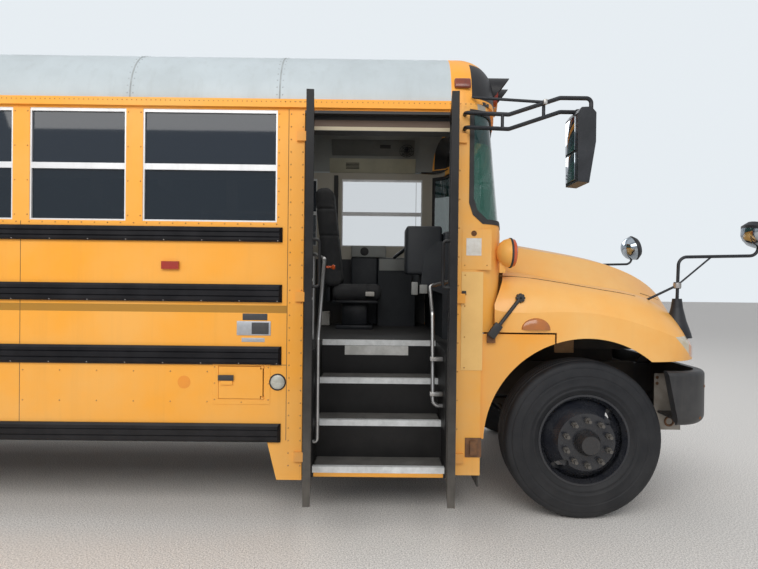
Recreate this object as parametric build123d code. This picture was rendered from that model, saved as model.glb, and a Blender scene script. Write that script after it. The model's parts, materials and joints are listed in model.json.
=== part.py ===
from build123d import *
import math
import os

# School bus with a forward engine and a tilting bonnet. Sizes are millimetres.
# X runs forward, Y to the left, Z up from the ground; the origin is under the middle of the bus.

# Axles, wheels and ride height
front_axle_x = 4575.0
wheelbase = 6452.0
rear_axle_x = front_axle_x - wheelbase
tyre_r = 516.0
wheel_z = tyre_r
tyre_half_w = 139.0
tread_half_w = 104.0
rim_flange_r = 298.0
rim_half_w = 116.0
disc_outset = 163.0
front_track_half = 1020.0
rear_track_half = 912.0
fit_gap = 0.08

# Body shell
body_half_w = 1219.0
wall_t = 45.0
skirt_z = 510.0
eave_z = 2669.0
eave_r = 385.0
roof_z = 3163.0
floor_z = 1084.0
floor_t = 60.0
front_post_x = front_axle_x - 845.0
door_rear_x = front_axle_x - 1820.0
body_rear_x = front_axle_x - 10290.0
rear_cap_depth = 130.0
rear_round = 95.0
cap_seam_x = front_axle_x - 897.0

# Side windows: one wide window behind the door, then a row of like ones
window_low_z = 1897.0
window_high_z = 2604.0
wide_window_x = front_axle_x - 1991.0
wide_window_w = 847.0
window_w = 605.0
window_post_w = 106.0
window_count = 10
window_frame_w = 20.0
window_side_w = 10.0
meeting_rail_w = 38.0
glass_t = 8.0
driver_window_x = front_axle_x - 883.0
driver_window_w = 848.0

# Front of the body, as a plan: a bowed front, tight corners and straight sides
bow_side_x = front_axle_x - 759.0
bow_corner_x = front_axle_x - 552.0
bow_corner_y = body_half_w - 159.0
bow_centre_x = front_axle_x - 412.0
waist_z = 1864.0
rake = 78.0
cap_overhang = 24.0
cap_shift = cap_overhang - rake
cap_round = 260.0
cap_wall_t = 60.0
cap_bevel = 130.0
cap_lamp_z = 2830.0
glass_rear_x = front_axle_x - 778.0
toe_x = front_axle_x - 690.0
cowl_low_z = 1216.0
front_wall_t = 40.0

# Steps
step_count = 3
step_rise = 250.0
step_run = 210.0
step_plate_t = 25.0
step_inset = 59.0
floor_nosing_y = body_half_w - step_inset - step_count * step_run
well_rear_x = front_axle_x - 1760.0
well_front_x = front_axle_x - 905.0
sill_z = 269.0

# Entrance door, two leaves that meet in the middle and stand open
door_top_z = 2588.0
leaf_t = 42.0
leaf_gap = 4.0
door_open_angle = 84.0
hinge_out = 10.0
hinge_in = 12.0
hinge_pin_r = 7.0

# Chassis
rail_out_y = 432.0
rail_flange = 80.0
rail_low_z = 670.0
rail_high_z = 930.0
rail_t = 10.0
kingpin_y = 905.0
kingpin_r = 22.0
stub_r = 38.0

# Bonnet, which tilts forward about two pins over the bumper
pivot_x = front_axle_x + 775.0
pivot_z = 1000.0
pivot_r = 10.0
arch_r = 665.0
fender_front_x = front_axle_x - 215.0
bonnet_t = 12.0
bonnet_low_z = 1216.0
nose_low_z = 1034.0
shut_gap = 12.0


def block(x0, x1, y0, y1, z0, z1):
    """A box between two corners."""
    return Pos((x0 + x1) / 2, (y0 + y1) / 2, (z0 + z1) / 2) * Box(x1 - x0, y1 - y0, z1 - z0)


def both_sides(shape):
    """A right-hand shape and its mirror image, which don't touch."""
    return Compound(children=[*shape.solids(), *mirror(shape, Plane.XZ).solids()])


def mirrored(shape):
    return mirror(shape, Plane.XZ)


def side_prism(points, y0, y1):
    """An outline of (x, z) points drawn out along Y."""
    line = Polyline(*[(x, y0, z) for x, z in points], close=True)
    return extrude(make_face(line), amount=y1 - y0, dir=(0, 1, 0))


def end_prism(points, x0, x1):
    """An outline of (y, z) points drawn out along X."""
    line = Polyline(*[(x0, y, z) for y, z in points], close=True)
    return extrude(make_face(line), amount=x1 - x0, dir=(1, 0, 0))


def rod(start, end, radius):
    """A round bar between two points."""
    line = Line(start, end)
    return sweep(Plane(origin=start, z_dir=line % 0) * Circle(radius), line)


def tube(points, radius, bend, sides=0):
    """A bar along straight runs joined by bends, round or, where it is slim, many-sided."""
    path = FilletPolyline(*points, radius=bend)
    section = RegularPolygon(radius, sides) if sides else Circle(radius)
    return sweep(Plane(origin=path @ 0, z_dir=path % 0) * section, path)


def lathe_y(points, x, y, z, out=1):
    """A turned piece about an axis along Y; points are (radius, distance outboard)."""
    line = Polyline(*[(x + r, y + out * d, z) for r, d in points], close=True)
    return revolve(make_face(line), Axis((x, y, z), (0, 1, 0)), 360)


def body_section(x, inset, low_z):
    """The body's cross-section: straight sides, round eaves and a slightly arched crown."""
    half = body_half_w - inset
    radius = eave_r - inset
    centre_y = body_half_w - eave_r
    crown_z = roof_z - inset
    join = math.radians(75.0)
    mid = join / 2
    join_y = centre_y + radius * math.cos(join)
    join_z = eave_z + radius * math.sin(join)
    mid_y = centre_y + radius * math.cos(mid)
    mid_z = eave_z + radius * math.sin(mid)
    outline = [
        ThreePointArc((x, -half, eave_z), (x, -mid_y, mid_z), (x, -join_y, join_z)),
        ThreePointArc((x, -join_y, join_z), (x, 0, crown_z), (x, join_y, join_z)),
        ThreePointArc((x, join_y, join_z), (x, mid_y, mid_z), (x, half, eave_z)),
        Line((x, half, low_z), (x, -half, low_z)),
    ]
    if low_z < eave_z:
        outline += [Line((x, side * half, low_z), (x, side * half, eave_z)) for side in (-1, 1)]
    return make_face(Wire(outline))


def body_prism(x0, x1, inset, low_z):
    return extrude(body_section(x0, inset, low_z), amount=x1 - x0, dir=(1, 0, 0))


def bow_outline(z, shift, inset, rear_x):
    """The plan of the body's front at a height, moved forward by shift and inward by inset."""
    side_x = bow_side_x + shift
    corner_x = bow_corner_x + shift - inset
    corner_y = bow_corner_y - inset * 0.75
    centre_x = bow_centre_x + shift - inset
    half = body_half_w - inset
    right_arc = TangentArc((side_x, -half, z), (corner_x, -corner_y, z), tangent=(1, 0, 0))
    left_arc = TangentArc((side_x, half, z), (corner_x, corner_y, z), tangent=(1, 0, 0))
    outline = [
        Line((rear_x, -half, z), (side_x, -half, z)),
        right_arc,
        ThreePointArc((corner_x, -corner_y, z), (centre_x, 0, z), (corner_x, corner_y, z)),
        left_arc,
        Line((side_x, half, z), (rear_x, half, z)),
        Line((rear_x, half, z), (rear_x, -half, z)),
    ]
    return make_face(Wire(outline))


def bow_prism(z0, z1, shift, inset, rear_x):
    return extrude(bow_outline(z0, shift, inset, rear_x), amount=z1 - z0, dir=(0, 0, 1))


def raked_prism(z0, z1, inset, rear_x):
    """The raked front between the waist and the roof cap."""
    height = eave_z - waist_z
    low = bow_outline(z0, -rake * (z0 - waist_z) / height, inset, rear_x)
    high = bow_outline(z1, -rake * (z1 - waist_z) / height, inset, rear_x)
    return loft([low, high], ruled=True)


def window_spans():
    """Each passenger window's rear and front edge, from the door back."""
    spans = [(wide_window_x - wide_window_w, wide_window_x)]
    front = wide_window_x - wide_window_w - window_post_w
    for _ in range(window_count):
        spans.append((front - window_w, front))
        front -= window_w + window_post_w
    return spans


driver_span = (driver_window_x - driver_window_w, driver_window_x)


# Side walls, one piece a side, with the windows and the rear wheel arch cut out
drip_w = 22.0
drip_low_z = 2618.0
rear_arch_r = 600.0


def side_wall(right):
    front_x = door_rear_x if right else front_post_x
    back_x = body_rear_x + rear_cap_depth
    y_in = body_half_w - wall_t
    wall = block(back_x, front_x, y_in, body_half_w, skirt_z, eave_z)
    wall += block(back_x, front_x, body_half_w, body_half_w + drip_w, drip_low_z, eave_z)
    if right:
        foot = [
            (door_rear_x - 219, skirt_z + 1),
            (door_rear_x - 158, sill_z),
            (door_rear_x, sill_z),
            (door_rear_x, skirt_z + 1),
        ]
        wall += side_prism(foot, y_in, body_half_w)
    spans = window_spans() if right else window_spans() + [driver_span]
    for x0, x1 in spans:
        wall -= block(x0, x1, y_in - 1, body_half_w + 1, window_low_z, window_high_z)
    wall -= Pos(rear_axle_x, body_half_w, wheel_z) * Rot(90, 0, 0) * Cylinder(rear_arch_r, 200)
    if right:
        x0, x1, z0, z1 = fuel_opening
        wall -= block(x0, x1, y_in - 1, body_half_w + 1, z0, z1)
        return mirrored(wall)
    return wall


# Fuel door, hinged along its front edge
fuel_opening = (front_axle_x - 2349, front_axle_x - 2063, 779.0, 987.0)
fuel_door_t = 6.0
fuel_hinge_r = 4.0
fuel_hinge = (fuel_opening[1] - 9, -body_half_w - 2)


def fuel_door():
    x0, x1, z0, z1 = fuel_opening
    gap = 3.0
    y = -body_half_w - fuel_door_t
    hx, hy = fuel_hinge
    edge_x = hx - 12
    panel = block(x0 + gap, edge_x, y, -body_half_w + 6, z0 + gap, z1 - gap)
    panel += rod((hx, hy, z0 + gap), (hx, hy, z1 - gap), fuel_hinge_r)
    panel += block(edge_x - 1, hx, y, y + 3, z0 + 20, z1 - 20)
    latch = block(x0 + 18, x0 + 90, y - 10, y, (z0 + z1) / 2 - 12, (z0 + z1) / 2 + 12)
    return panel + latch


def fuel_filler():
    """The filler neck and the pocket behind the fuel door, with its hinge strip."""
    x0, x1, z0, z1 = fuel_opening
    y_in = body_half_w - wall_t
    pocket = block(x0, x1, -y_in, -y_in + 70, z0, z1)
    pocket -= block(x0 + 4, x1 - 4, -y_in - 1, -y_in + 66, z0 + 4, z1 - 4)
    hx, hy = fuel_hinge
    for z in (z0, z1 - 12):
        pocket += block(hx - 7, x1, hy - 7, -y_in + 10, z, z + 12)
    pocket -= Pos(hx, hy, (z0 + z1) / 2) * Cylinder(fuel_hinge_r + fit_gap, z1 - z0 - 4)
    neck_x = (x0 + x1) / 2
    neck_z = (z0 + z1) / 2
    pocket += rod((neck_x, -y_in + 67, neck_z), (neck_x, -y_in + 8, neck_z), 42)
    return pocket


# Rub rails: ribbed black rails along both sides
rail_depth = 24.0
rub_rails = [  # low z, high z
    (1772.0, 1864.0),
    (1392.0, 1504.0),
    (1000.0, 1113.0),
    (510.0, 625.0),
]


def rub_rail(x0, x1, z0, z1):
    """One rail: its face has two long grooves and its edges and ends are bevelled."""
    y = body_half_w
    out = body_half_w + rail_depth
    height = z1 - z0
    groove = 6.0
    g1 = z0 + height * 0.33
    g2 = z0 + height * 0.67
    points = [
        (y, z0),
        (out - 8, z0),
        (out, z0 + 14),
        (out, g1 - 4),
        (out - groove, g1),
        (out, g1 + 4),
        (out, g2 - 4),
        (out - groove, g2),
        (out, g2 + 4),
        (out, z1 - 14),
        (out - 8, z1),
        (y, z1),
    ]
    rail = end_prism(points, x0, x1)
    bevel = 18.0
    for x, way in ((x0, 1), (x1, -1)):
        tip = [(x, y + 6), (x, out + 1), (x + way * bevel, out + 1)]
        line = Polyline(*[(px, py, z0 - 1) for px, py in tip], close=True)
        rail -= extrude(make_face(line), amount=height + 2, dir=(0, 0, 1))
    return rail


def all_rub_rails():
    arch = Pos(rear_axle_x, body_half_w, wheel_z) * Rot(90, 0, 0) * Cylinder(rear_arch_r + 25, 200)
    back_x = body_rear_x + rear_cap_depth + 10
    solids = []
    for z0, z1 in rub_rails:
        right = rub_rail(back_x, door_rear_x - 133, z0, z1) - arch
        left = rub_rail(back_x, front_post_x - 20, z0, z1) - arch
        solids += mirrored(right).solids()
        solids += left.solids()
    return Compound(children=solids)


# Window frames and panes
def one_window(w, h):
    """A two-sash window frame and its panes, lying in its opening, from its low rear corner."""
    y0 = body_half_w - 38
    y1 = body_half_w - 4
    side = window_side_w
    meet_z = h * 0.46
    frame = block(0, w, y0, y1, 0, h)
    low = (side, w - side, side, meet_z)
    high = (side, w - side, meet_z + meeting_rail_w, h - window_frame_w)
    panes = []
    for x0, x1, z0, z1 in (low, high):
        frame -= block(x0, x1, y0 - 1, y1 + 1, z0, z1)
        panes.append(block(x0, x1, y0 + 12, y0 + 12 + glass_t, z0, z1))
    return frame, panes


def side_windows():
    frames = []
    panes = []
    for w in (wide_window_w, window_w, driver_window_w):
        h = window_high_z - window_low_z
        frame, glass = one_window(w, h)
        spans = [s for s in window_spans() if abs(s[1] - s[0] - w) < 0.01]
        sides = (1, -1)
        if w == driver_window_w:
            spans = [driver_span]
            sides = (1,)
        for x0, _ in spans:
            for side in sides:
                for made, kept in ((frame, frames), *((g, panes) for g in glass)):
                    placed = Pos(x0, 0, window_low_z) * made
                    placed = placed if side > 0 else mirrored(placed)
                    kept += placed.solids()
    return Compound(children=frames), Compound(children=panes)


# Roof with two hatches
hatch_half = 290.0
hatch_lid_half = 330.0
hatch_frame_z = roof_z + 12
hatch_lid_t = 38.0
hatch_xs = {"front": front_axle_x - 4000.0, "rear": front_axle_x - 8200.0}


def roof():
    x0 = body_rear_x + rear_cap_depth
    shell = body_prism(x0, cap_seam_x, 0, eave_z) - body_prism(x0 - 1, cap_seam_x + 1, wall_t, eave_z - 1)
    curb_half = hatch_half + 30
    for x in hatch_xs.values():
        low = roof_z - wall_t - 30
        shell += block(x - curb_half, x + curb_half, -curb_half, curb_half, low, hatch_frame_z)
        shell -= block(x - hatch_half, x + hatch_half, -hatch_half, hatch_half, low - 1, hatch_frame_z + 1)
        hinge_x = x + hatch_lid_half + hatch_hinge_r + 6
        for y in (-180, 180):
            ear = block(hinge_x - 30, hinge_x + 13, y - 25, y + 25, roof_z - 25, hatch_hinge_z)
            ear += Pos(hinge_x, y, hatch_hinge_z) * Rot(90, 0, 0) * Cylinder(hatch_hinge_r + 5, 50)
            ear -= Pos(hinge_x, y, hatch_hinge_z) * Rot(90, 0, 0) * Cylinder(hatch_hinge_r + fit_gap, 60)
            lid_space = block(x - 1000, hinge_x - 13, y - 30, y + 30, hatch_frame_z, roof_z + 200)
            shell += ear - lid_space
    return shell


hatch_hinge_r = 8.0
hatch_hinge_z = hatch_frame_z + 20


def hatch(x):
    """A shallow domed lid with its hinge bar at the front edge."""
    low = hatch_frame_z + 0.5
    half = hatch_lid_half
    lid = block(x - half, x + half, -half, half, low, low + hatch_lid_t)
    lid = fillet(lid.edges().filter_by(Axis.Z), 40)
    lid = fillet(lid.faces().sort_by(Axis.Z)[-1].edges(), 18)
    inner = hatch_lid_half - 14
    lid -= block(x - inner, x + inner, -inner, inner, low - 1, low + hatch_lid_t - 14)
    hinge_x = x + hatch_lid_half + hatch_hinge_r + 6
    lid += rod((hinge_x, -215, hatch_hinge_z), (hinge_x, 215, hatch_hinge_z), hatch_hinge_r)
    width = 30.0
    leaf_z0, leaf_z1 = hatch_hinge_z - 4, hatch_hinge_z + 4
    for y in (-234, -60, 60, 234):
        edge_x = x + hatch_lid_half - 12
        lid += block(edge_x, hinge_x, y - width / 2, y + width / 2, leaf_z0, leaf_z1)
        lid += Pos(hinge_x, y, hatch_hinge_z) * Rot(90, 0, 0) * Cylinder(hatch_hinge_r, width)
    return lid


# Roof cap at the front, bowed forward over the windscreen, with a large round edge
def cap_form(inset, rear_x, low_z, rounded):
    """The cap as a solid: round at its upper front edge, or with a plain bevel for its inside."""
    sag = bow_centre_x - bow_corner_x
    radius = (sag * sag + bow_corner_y * bow_corner_y) / (2 * sag)
    front = bow_centre_x + cap_shift - inset
    bow = Pos(front - radius, 0, eave_z) * Cylinder(radius, 2 * radius)
    form = body_prism(rear_x, front + 10, inset, low_z) & bow
    rim = [e for e in form.edges() if e.center().Z > eave_z + 60 and e.center().X > rear_x + 100]
    rim = [e for e in rim if e.length > 400]
    return fillet(rim, cap_round) if rounded else chamfer(rim, cap_bevel)


def front_cap():
    outer = cap_form(0, cap_seam_x, eave_z, True)
    return outer - cap_form(cap_wall_t, cap_seam_x - 1, eave_z - 1, False)


def windscreen_cut(grow):
    """The windscreen's opening as a side outline: square at the top, round at the low rear corner."""
    x = glass_rear_x - grow
    low = 1904.0 - grow
    high = eave_z - 40 + grow
    far = front_axle_x
    points = [(x, high), (x, low + 130), (x + 25, low + 55), (x + 90, low), (far, low), (far, high)]
    return side_prism(points, -body_half_w - 100, body_half_w + 100)


def windscreen_frame():
    wall = raked_prism(waist_z, eave_z, 0, front_post_x)
    wall -= raked_prism(waist_z - 1, eave_z + 1, front_wall_t, front_post_x - 1)
    return wall - windscreen_cut(0)


def windscreen_seal():
    band = raked_prism(waist_z, eave_z, -4, front_post_x)
    band -= raked_prism(waist_z - 1, eave_z + 1, 24, front_post_x - 1)
    return (band & windscreen_cut(0)) - windscreen_cut(-30)


def windscreen():
    pane = raked_prism(waist_z, eave_z, 6, front_post_x)
    pane -= raked_prism(waist_z - 1, eave_z + 1, 6 + glass_t, front_post_x - 1)
    return pane & windscreen_cut(-30)


# Cowl: the body below the windscreen, its side posts, the toe board and the front door post
def cowl():
    shell = bow_prism(cowl_low_z, waist_z, 0, 0, front_post_x)
    shell -= bow_prism(cowl_low_z + 40, waist_z + 1, 0, front_wall_t, front_post_x - 1)
    side_in = body_half_w - wall_t
    shell -= block(front_post_x - 2, toe_x, -side_in, side_in, cowl_low_z - 1, cowl_low_z + 41)
    right_post = block(front_post_x, toe_x, -body_half_w, -side_in, sill_z + 40, cowl_low_z)
    left_post = block(front_post_x, toe_x, side_in, body_half_w, skirt_z, cowl_low_z)
    toe = block(toe_x - 30, toe_x, -side_in, side_in, floor_z - floor_t, cowl_low_z + 40)
    pillar_low = block(front_post_x, toe_x, -side_in, -floor_nosing_y, sill_z + 40, floor_z - floor_t)
    pillar_low -= block(front_post_x - 1, toe_x - 12, -side_in - 1, -floor_nosing_y - 12, sill_z, floor_z)
    return shell + right_post + left_post + toe + pillar_low


# Rear fender pieces, fixed to the cowl behind each front wheel
fender_inset = 23.0
fender_plate_t = 46.0
liner_in_y = 585.0


def rear_fender():
    low_z = 535.0
    high_z = bonnet_low_z - shut_gap
    y1 = body_half_w - fender_inset
    y0 = y1 - fender_plate_t
    plate = block(toe_x, fender_front_x, y0, y1, low_z, high_z)
    flare = Pos(front_axle_x, y1, wheel_z) * Rot(90, 0, 0) * Cylinder(arch_r, 2 * (y1 - liner_in_y) + 70)
    width = y0 + 5 - liner_in_y
    liner_out = Pos(front_axle_x, liner_in_y + width / 2, wheel_z) * Rot(90, 0, 0)
    liner_out *= Cylinder(arch_r + 10, width)
    liner = liner_out & block(toe_x, fender_front_x, liner_in_y, y0 + 5, low_z, high_z - 4)
    piece = (plate + liner) - flare
    web = block(toe_x, toe_x + 12, liner_in_y + 115, y1, low_z + 150, cowl_low_z)
    piece += web - flare
    return piece


# Rear end: a shallow pan with round edges, the door opening and two windows
rear_door_half = 470.0
rear_door_low_z = floor_z + 4
rear_door_high_z = 2630.0
rear_window = (rear_door_half + 130, body_half_w - 124, 1900.0, 2500.0)

# Licence plate holder: four holes on the standard spacing, left of the rear door
plate_hole_r = 3.5
plate_spacing_y = 177.8
plate_spacing_z = 120.65
plate_y = 780.0
plate_z = 1180.0
plate_hole_depth = 30.0


def rear_end():
    x1 = body_rear_x + rear_cap_depth
    outer = body_prism(body_rear_x, x1, 0, skirt_z)
    rim = [e for e in outer.edges() if abs(e.center().X - body_rear_x) < 1 and e.center().Z > skirt_z + 1]
    outer = fillet(rim, rear_round)
    shell = outer - body_prism(body_rear_x + wall_t, x1 + 1, wall_t, skirt_z - 1)
    x0 = body_rear_x - 1
    xw = body_rear_x + wall_t + 1
    shell -= block(x0, xw, -rear_door_half, rear_door_half, rear_door_low_z, rear_door_high_z)
    y0, y1, z0, z1 = rear_window
    for side in (1, -1):
        ya, yb = sorted((side * y0, side * y1))
        shell -= block(x0, xw, ya, yb, z0, z1)
    for dy in (-plate_spacing_y / 2, plate_spacing_y / 2):
        for dz in (-plate_spacing_z / 2, plate_spacing_z / 2):
            hole = Pos(body_rear_x, plate_y + dy, plate_z + dz) * Rot(0, 90, 0)
            shell -= hole * Cylinder(plate_hole_r, 2 * plate_hole_depth)
    return shell


def rear_panes():
    y0, y1, z0, z1 = rear_window
    x = body_rear_x + 16
    panes = []
    for side in (1, -1):
        ya, yb = sorted((side * y0, side * y1))
        panes += block(x, x + glass_t, ya, yb, z0, z1).solids()
    return panes


# Emergency door in the rear wall, hinged on its right edge
rear_hinge_y = -rear_door_half - 6
rear_hinge_x = body_rear_x - 12.0
rear_hinge_r = 9.0


def rear_door():
    gap = 5.0
    y0 = -rear_door_half + gap
    y1 = rear_door_half - gap
    z0 = rear_door_low_z + gap
    z1 = rear_door_high_z - gap
    x0 = body_rear_x - 2
    x1 = body_rear_x + 36
    door = block(x0, x1, y0, y1, z0, z1)
    rim = 75.0
    upper = (y0 + rim, y1 - rim, 1880.0, z1 - rim)
    lower = (y0 + rim, y1 - rim, z0 + 90, 1640.0)
    panes = []
    for ya, yb, za, zb in (upper, lower):
        door -= block(x0 - 1, x1 + 1, ya, yb, za, zb)
        panes += block(x0 + 14, x0 + 14 + glass_t, ya, yb, za, zb).solids()
    handle_z = 1760.0
    door += block(x0 - 28, x0, y1 - 170, y1 - 60, handle_z - 12, handle_z + 12)
    pin = rod((rear_hinge_x, rear_hinge_y, z0 + 60), (rear_hinge_x, rear_hinge_y, z1 - 60), rear_hinge_r)
    door += pin
    for z in rear_hinge_heights():
        strap = block(rear_hinge_x - 4, rear_hinge_x + 4, rear_hinge_y, y0 + 90, z + 30, z + 80)
        strap += block(rear_hinge_x - 4, x0 + 2, y0 + 4, y0 + 90, z + 30, z + 80)
        door += strap
    return door, Compound(children=panes)


def rear_hinge_heights():
    return (1250.0, 1850.0, 2400.0)


def rear_hinges():
    """The fixed hinge blocks on the rear wall; each has the door's pin through it."""
    blocks = []
    for z in rear_hinge_heights():
        ear = block(body_rear_x - 24, body_rear_x, rear_hinge_y - 45, rear_hinge_y - 5, z - 30, z + 20)
        ear += Pos(rear_hinge_x, rear_hinge_y, z - 5) * Cylinder(rear_hinge_r + 5, 50)
        ear -= Pos(rear_hinge_x, rear_hinge_y, z) * Cylinder(rear_hinge_r + fit_gap, 120)
        ear -= block(body_rear_x, body_rear_x + 60, -600, 0, z - 60, z + 60)
        blocks += ear.solids()
    return blocks


# Floor with its cross sills and the rear wheel boxes
sill_pitch = window_w + window_post_w
sill_half = body_half_w - 119


def floor():
    x0 = body_rear_x + wall_t
    x1 = toe_x - 30
    half = body_half_w - wall_t
    deck = block(x0, x1, -half, half, floor_z - floor_t, floor_z)
    well_y = step_plate_t - floor_nosing_y
    deck -= block(door_rear_x, front_post_x, -half - 1, well_y, floor_z - floor_t - 1, floor_z + 1)
    box_half = rear_arch_r + 20
    box_in = 560.0
    box_top = floor_z + 130
    low_z = floor_z - floor_t
    for side in (1, -1):
        ya, yb = sorted((side * box_in, side * half))
        deck += block(rear_axle_x - box_half, rear_axle_x + box_half, ya, yb, low_z, box_top)
        ya, yb = sorted((side * (box_in + 12), side * (half + 1)))
        xa, xb = rear_axle_x - box_half + 12, rear_axle_x + box_half - 12
        deck -= block(xa, xb, ya, yb, low_z - 1, box_top - 12)
    x = x0 + 260
    while x < door_rear_x - 100:
        if abs(x - rear_axle_x) > box_half + 40:
            deck += block(x - 25, x + 25, -sill_half, sill_half, rail_high_z, floor_z - floor_t)
        else:
            deck += block(x - 25, x + 25, -box_in + 20, box_in - 20, rail_high_z, floor_z - floor_t)
        x += sill_pitch
    deck += block(x1 - 300, x1 - 240, -floor_nosing_y + 40, sill_half, rail_high_z, floor_z - floor_t)
    return deck


# Step well: treads, risers and end plates as one pressed piece
def step_line():
    """The top line of the steps from the outside in, as (y, z)."""
    points = []
    for i in range(step_count, 0, -1):
        z = floor_z - i * step_rise
        points.append((floor_nosing_y + i * step_run, z))
        points.append((floor_nosing_y + (i - 1) * step_run, z))
    return points


def step_well():
    line = step_line()
    t = step_plate_t
    top = [(-y, z) for y, z in line] + [(-floor_nosing_y, floor_z)]
    low = [(-floor_nosing_y + t, floor_z), (-floor_nosing_y + t, floor_z - step_rise - t)]
    for i in range(2, step_count + 1):
        y = floor_nosing_y + (i - 1) * step_run - t
        low.append((-y, floor_z - (i - 1) * step_rise - t))
        low.append((-y, floor_z - i * step_rise - t))
    first = line[0]
    low.append((-first[0], first[1] - t))
    well = end_prism(top + low, well_rear_x, well_front_x)
    outer = -first[0]
    for x0, x1 in ((door_rear_x, well_rear_x), (well_front_x, front_post_x)):
        well += block(x0, x1, outer, t - floor_nosing_y, sill_z, floor_z)
    sill = block(door_rear_x, front_post_x, outer, outer + 30, sill_z, first[1] - t)
    return well + sill


def nosings():
    """Bright angle strips on the edge of each tread and of the floor."""
    strips = []
    for i in range(step_count + 1):
        y = -(floor_nosing_y + i * step_run)
        z = floor_z - i * step_rise
        width = well_front_x - well_rear_x
        face = block(well_rear_x + 2, well_rear_x + width - 2, y - 4, y, z - 36, z + 4)
        top = block(well_rear_x + 2, well_rear_x + width - 2, y - 4, y + 30, z, z + 4)
        strips += (face + top).solids()
    return Compound(children=strips)


def door_header():
    """The beam over the entrance, with the drip rail and the black box of the door gear."""
    x0, x1 = door_rear_x, front_post_x
    beam = block(x0, x1, -body_half_w, -body_half_w + 70, door_top_z, eave_z)
    beam += block(x0, x1 - 10, -body_half_w - drip_w, -body_half_w, drip_low_z, eave_z)
    beam += block(x0 + 10, x1 - 10, -body_half_w + 70, -body_half_w + 190, door_top_z - 90, eave_z)
    return beam


# Door leaves, made shut and then turned open about their hinge lines
def leaf_hinge(rear):
    x = door_rear_x + hinge_in if rear else front_post_x - hinge_in
    return x, -body_half_w - hinge_out


leaf_low_z = sill_z + 20
leaf_high_z = door_top_z - 8
hinge_heights = (420.0, 1430.0, 2440.0)


def door_leaf(rear):
    """One leaf: stiles and rails round a tall upper and lower pane, with its hinge pin."""
    hx, hy = leaf_hinge(True)
    meet_x = (door_rear_x + front_post_x) / 2 - leaf_gap
    x0 = hx + 14
    y0 = -body_half_w - 3
    y1 = y0 + leaf_t
    frame = block(x0, meet_x, y0, y1, leaf_low_z, leaf_high_z)
    stile = 52.0
    split_z = 1330.0
    panes = []
    for z0, z1 in ((leaf_low_z + 70, split_z - 30), (split_z + 30, leaf_high_z - 70)):
        frame -= block(x0 + stile, meet_x - stile, y0 - 1, y1 + 1, z0, z1)
        panes += block(x0 + stile, meet_x - stile, y0 + 18, y0 + 18 + glass_t, z0, z1).solids()
    frame += rod((hx, hy, leaf_low_z + 20), (hx, hy, leaf_high_z - 20), hinge_pin_r)
    for z in hinge_heights:
        frame += block(hx - 4, x0 + 20, hy - 4, y0 + 8, z + 34, z + 90)
    handle_z = 1500.0
    grab = tube(
        [
            (meet_x - 30, y1 - 2, handle_z),
            (meet_x - 30, y1 + 38, handle_z),
            (meet_x - 30, y1 + 38, handle_z + 260),
            (meet_x - 30, y1 - 2, handle_z + 260),
        ],
        9,
        20,
        8,
    )
    frame += grab
    glass = Compound(children=panes)
    turn = Pos(hx, hy, 0) * Rot(0, 0, -door_open_angle) * Pos(-hx, -hy, 0)
    frame = turn * frame
    glass = turn * glass
    if not rear:
        mid_x = (door_rear_x + front_post_x) / 2
        frame = mirror(frame, Plane(origin=(mid_x, 0, 0), z_dir=(1, 0, 0)))
        glass = mirror(glass, Plane(origin=(mid_x, 0, 0), z_dir=(1, 0, 0)))
    return frame, glass


def leaf_hinges():
    """Fixed hinge blocks on both door posts, round the leaves' pins."""
    blocks = []
    for rear in (True, False):
        hx, hy = leaf_hinge(rear)
        way = -1 if rear else 1
        for z in hinge_heights:
            xa, xb = sorted((hx, hx + way * 60))
            ear = block(xa, xb, hy - 10, -body_half_w, z - 30, z + 30)
            ear += Pos(hx, hy, z) * Cylinder(11, 60)
            ear -= Pos(hx, hy, z) * Cylinder(hinge_pin_r + fit_gap, 80)
            blocks += (ear - block(hx - 200, hx + 200, -body_half_w, 0, z - 80, z + 80)).solids()
    return blocks


# Chassis frame: two channel rails and cross members
cross_member_xs = [front_axle_x + x for x in (600, 330, -360, -2100, -3500, -5000, -7600, -9000, -10080)]


def chassis_frame():
    rear_x = body_rear_x + wall_t
    front_x = front_axle_x + 640
    web = block(rear_x, front_x, rail_out_y - rail_t, rail_out_y, rail_low_z, rail_high_z)
    web += block(rear_x, front_x, rail_out_y - rail_flange, rail_out_y, rail_low_z, rail_low_z + rail_t)
    web += block(rear_x, front_x, rail_out_y - rail_flange, rail_out_y, rail_high_z - rail_t, rail_high_z)
    frame = web + mirrored(web)
    for x in cross_member_xs:
        frame += block(x - 30, x + 30, -rail_out_y + rail_t / 2, rail_out_y - rail_t / 2, 845, 915)
    return frame


def leaf_spring(x, y, half_len, width):
    """A leaf pack bowed down under the frame, with its two hangers."""
    axle_top = wheel_z + 35
    eye_z = rail_low_z - 45
    drop = eye_z - axle_top - 20
    low = Edge.make_three_point_arc((x - half_len, y, eye_z), (x, y, eye_z - drop), (x + half_len, y, eye_z))
    high = Edge.make_three_point_arc(
        (x - half_len, y, eye_z + 22), (x, y, eye_z - drop + 62), (x + half_len, y, eye_z + 22)
    )
    ends = [
        Edge.make_line((x - half_len, y, eye_z), (x - half_len, y, eye_z + 22)),
        Edge.make_line((x + half_len, y, eye_z), (x + half_len, y, eye_z + 22)),
    ]
    pack = extrude(make_face([low, high, *ends]), amount=width, dir=(0, 1, 0))
    for end in (-1, 1):
        xc = x + end * (half_len - 5)
        pack += block(xc - 35, xc + 35, y, y + width, eye_z - 10, rail_low_z)
    pack += block(x - 70, x + 70, y, y + width, axle_top - 40, eye_z - drop + 10)
    return pack


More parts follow.
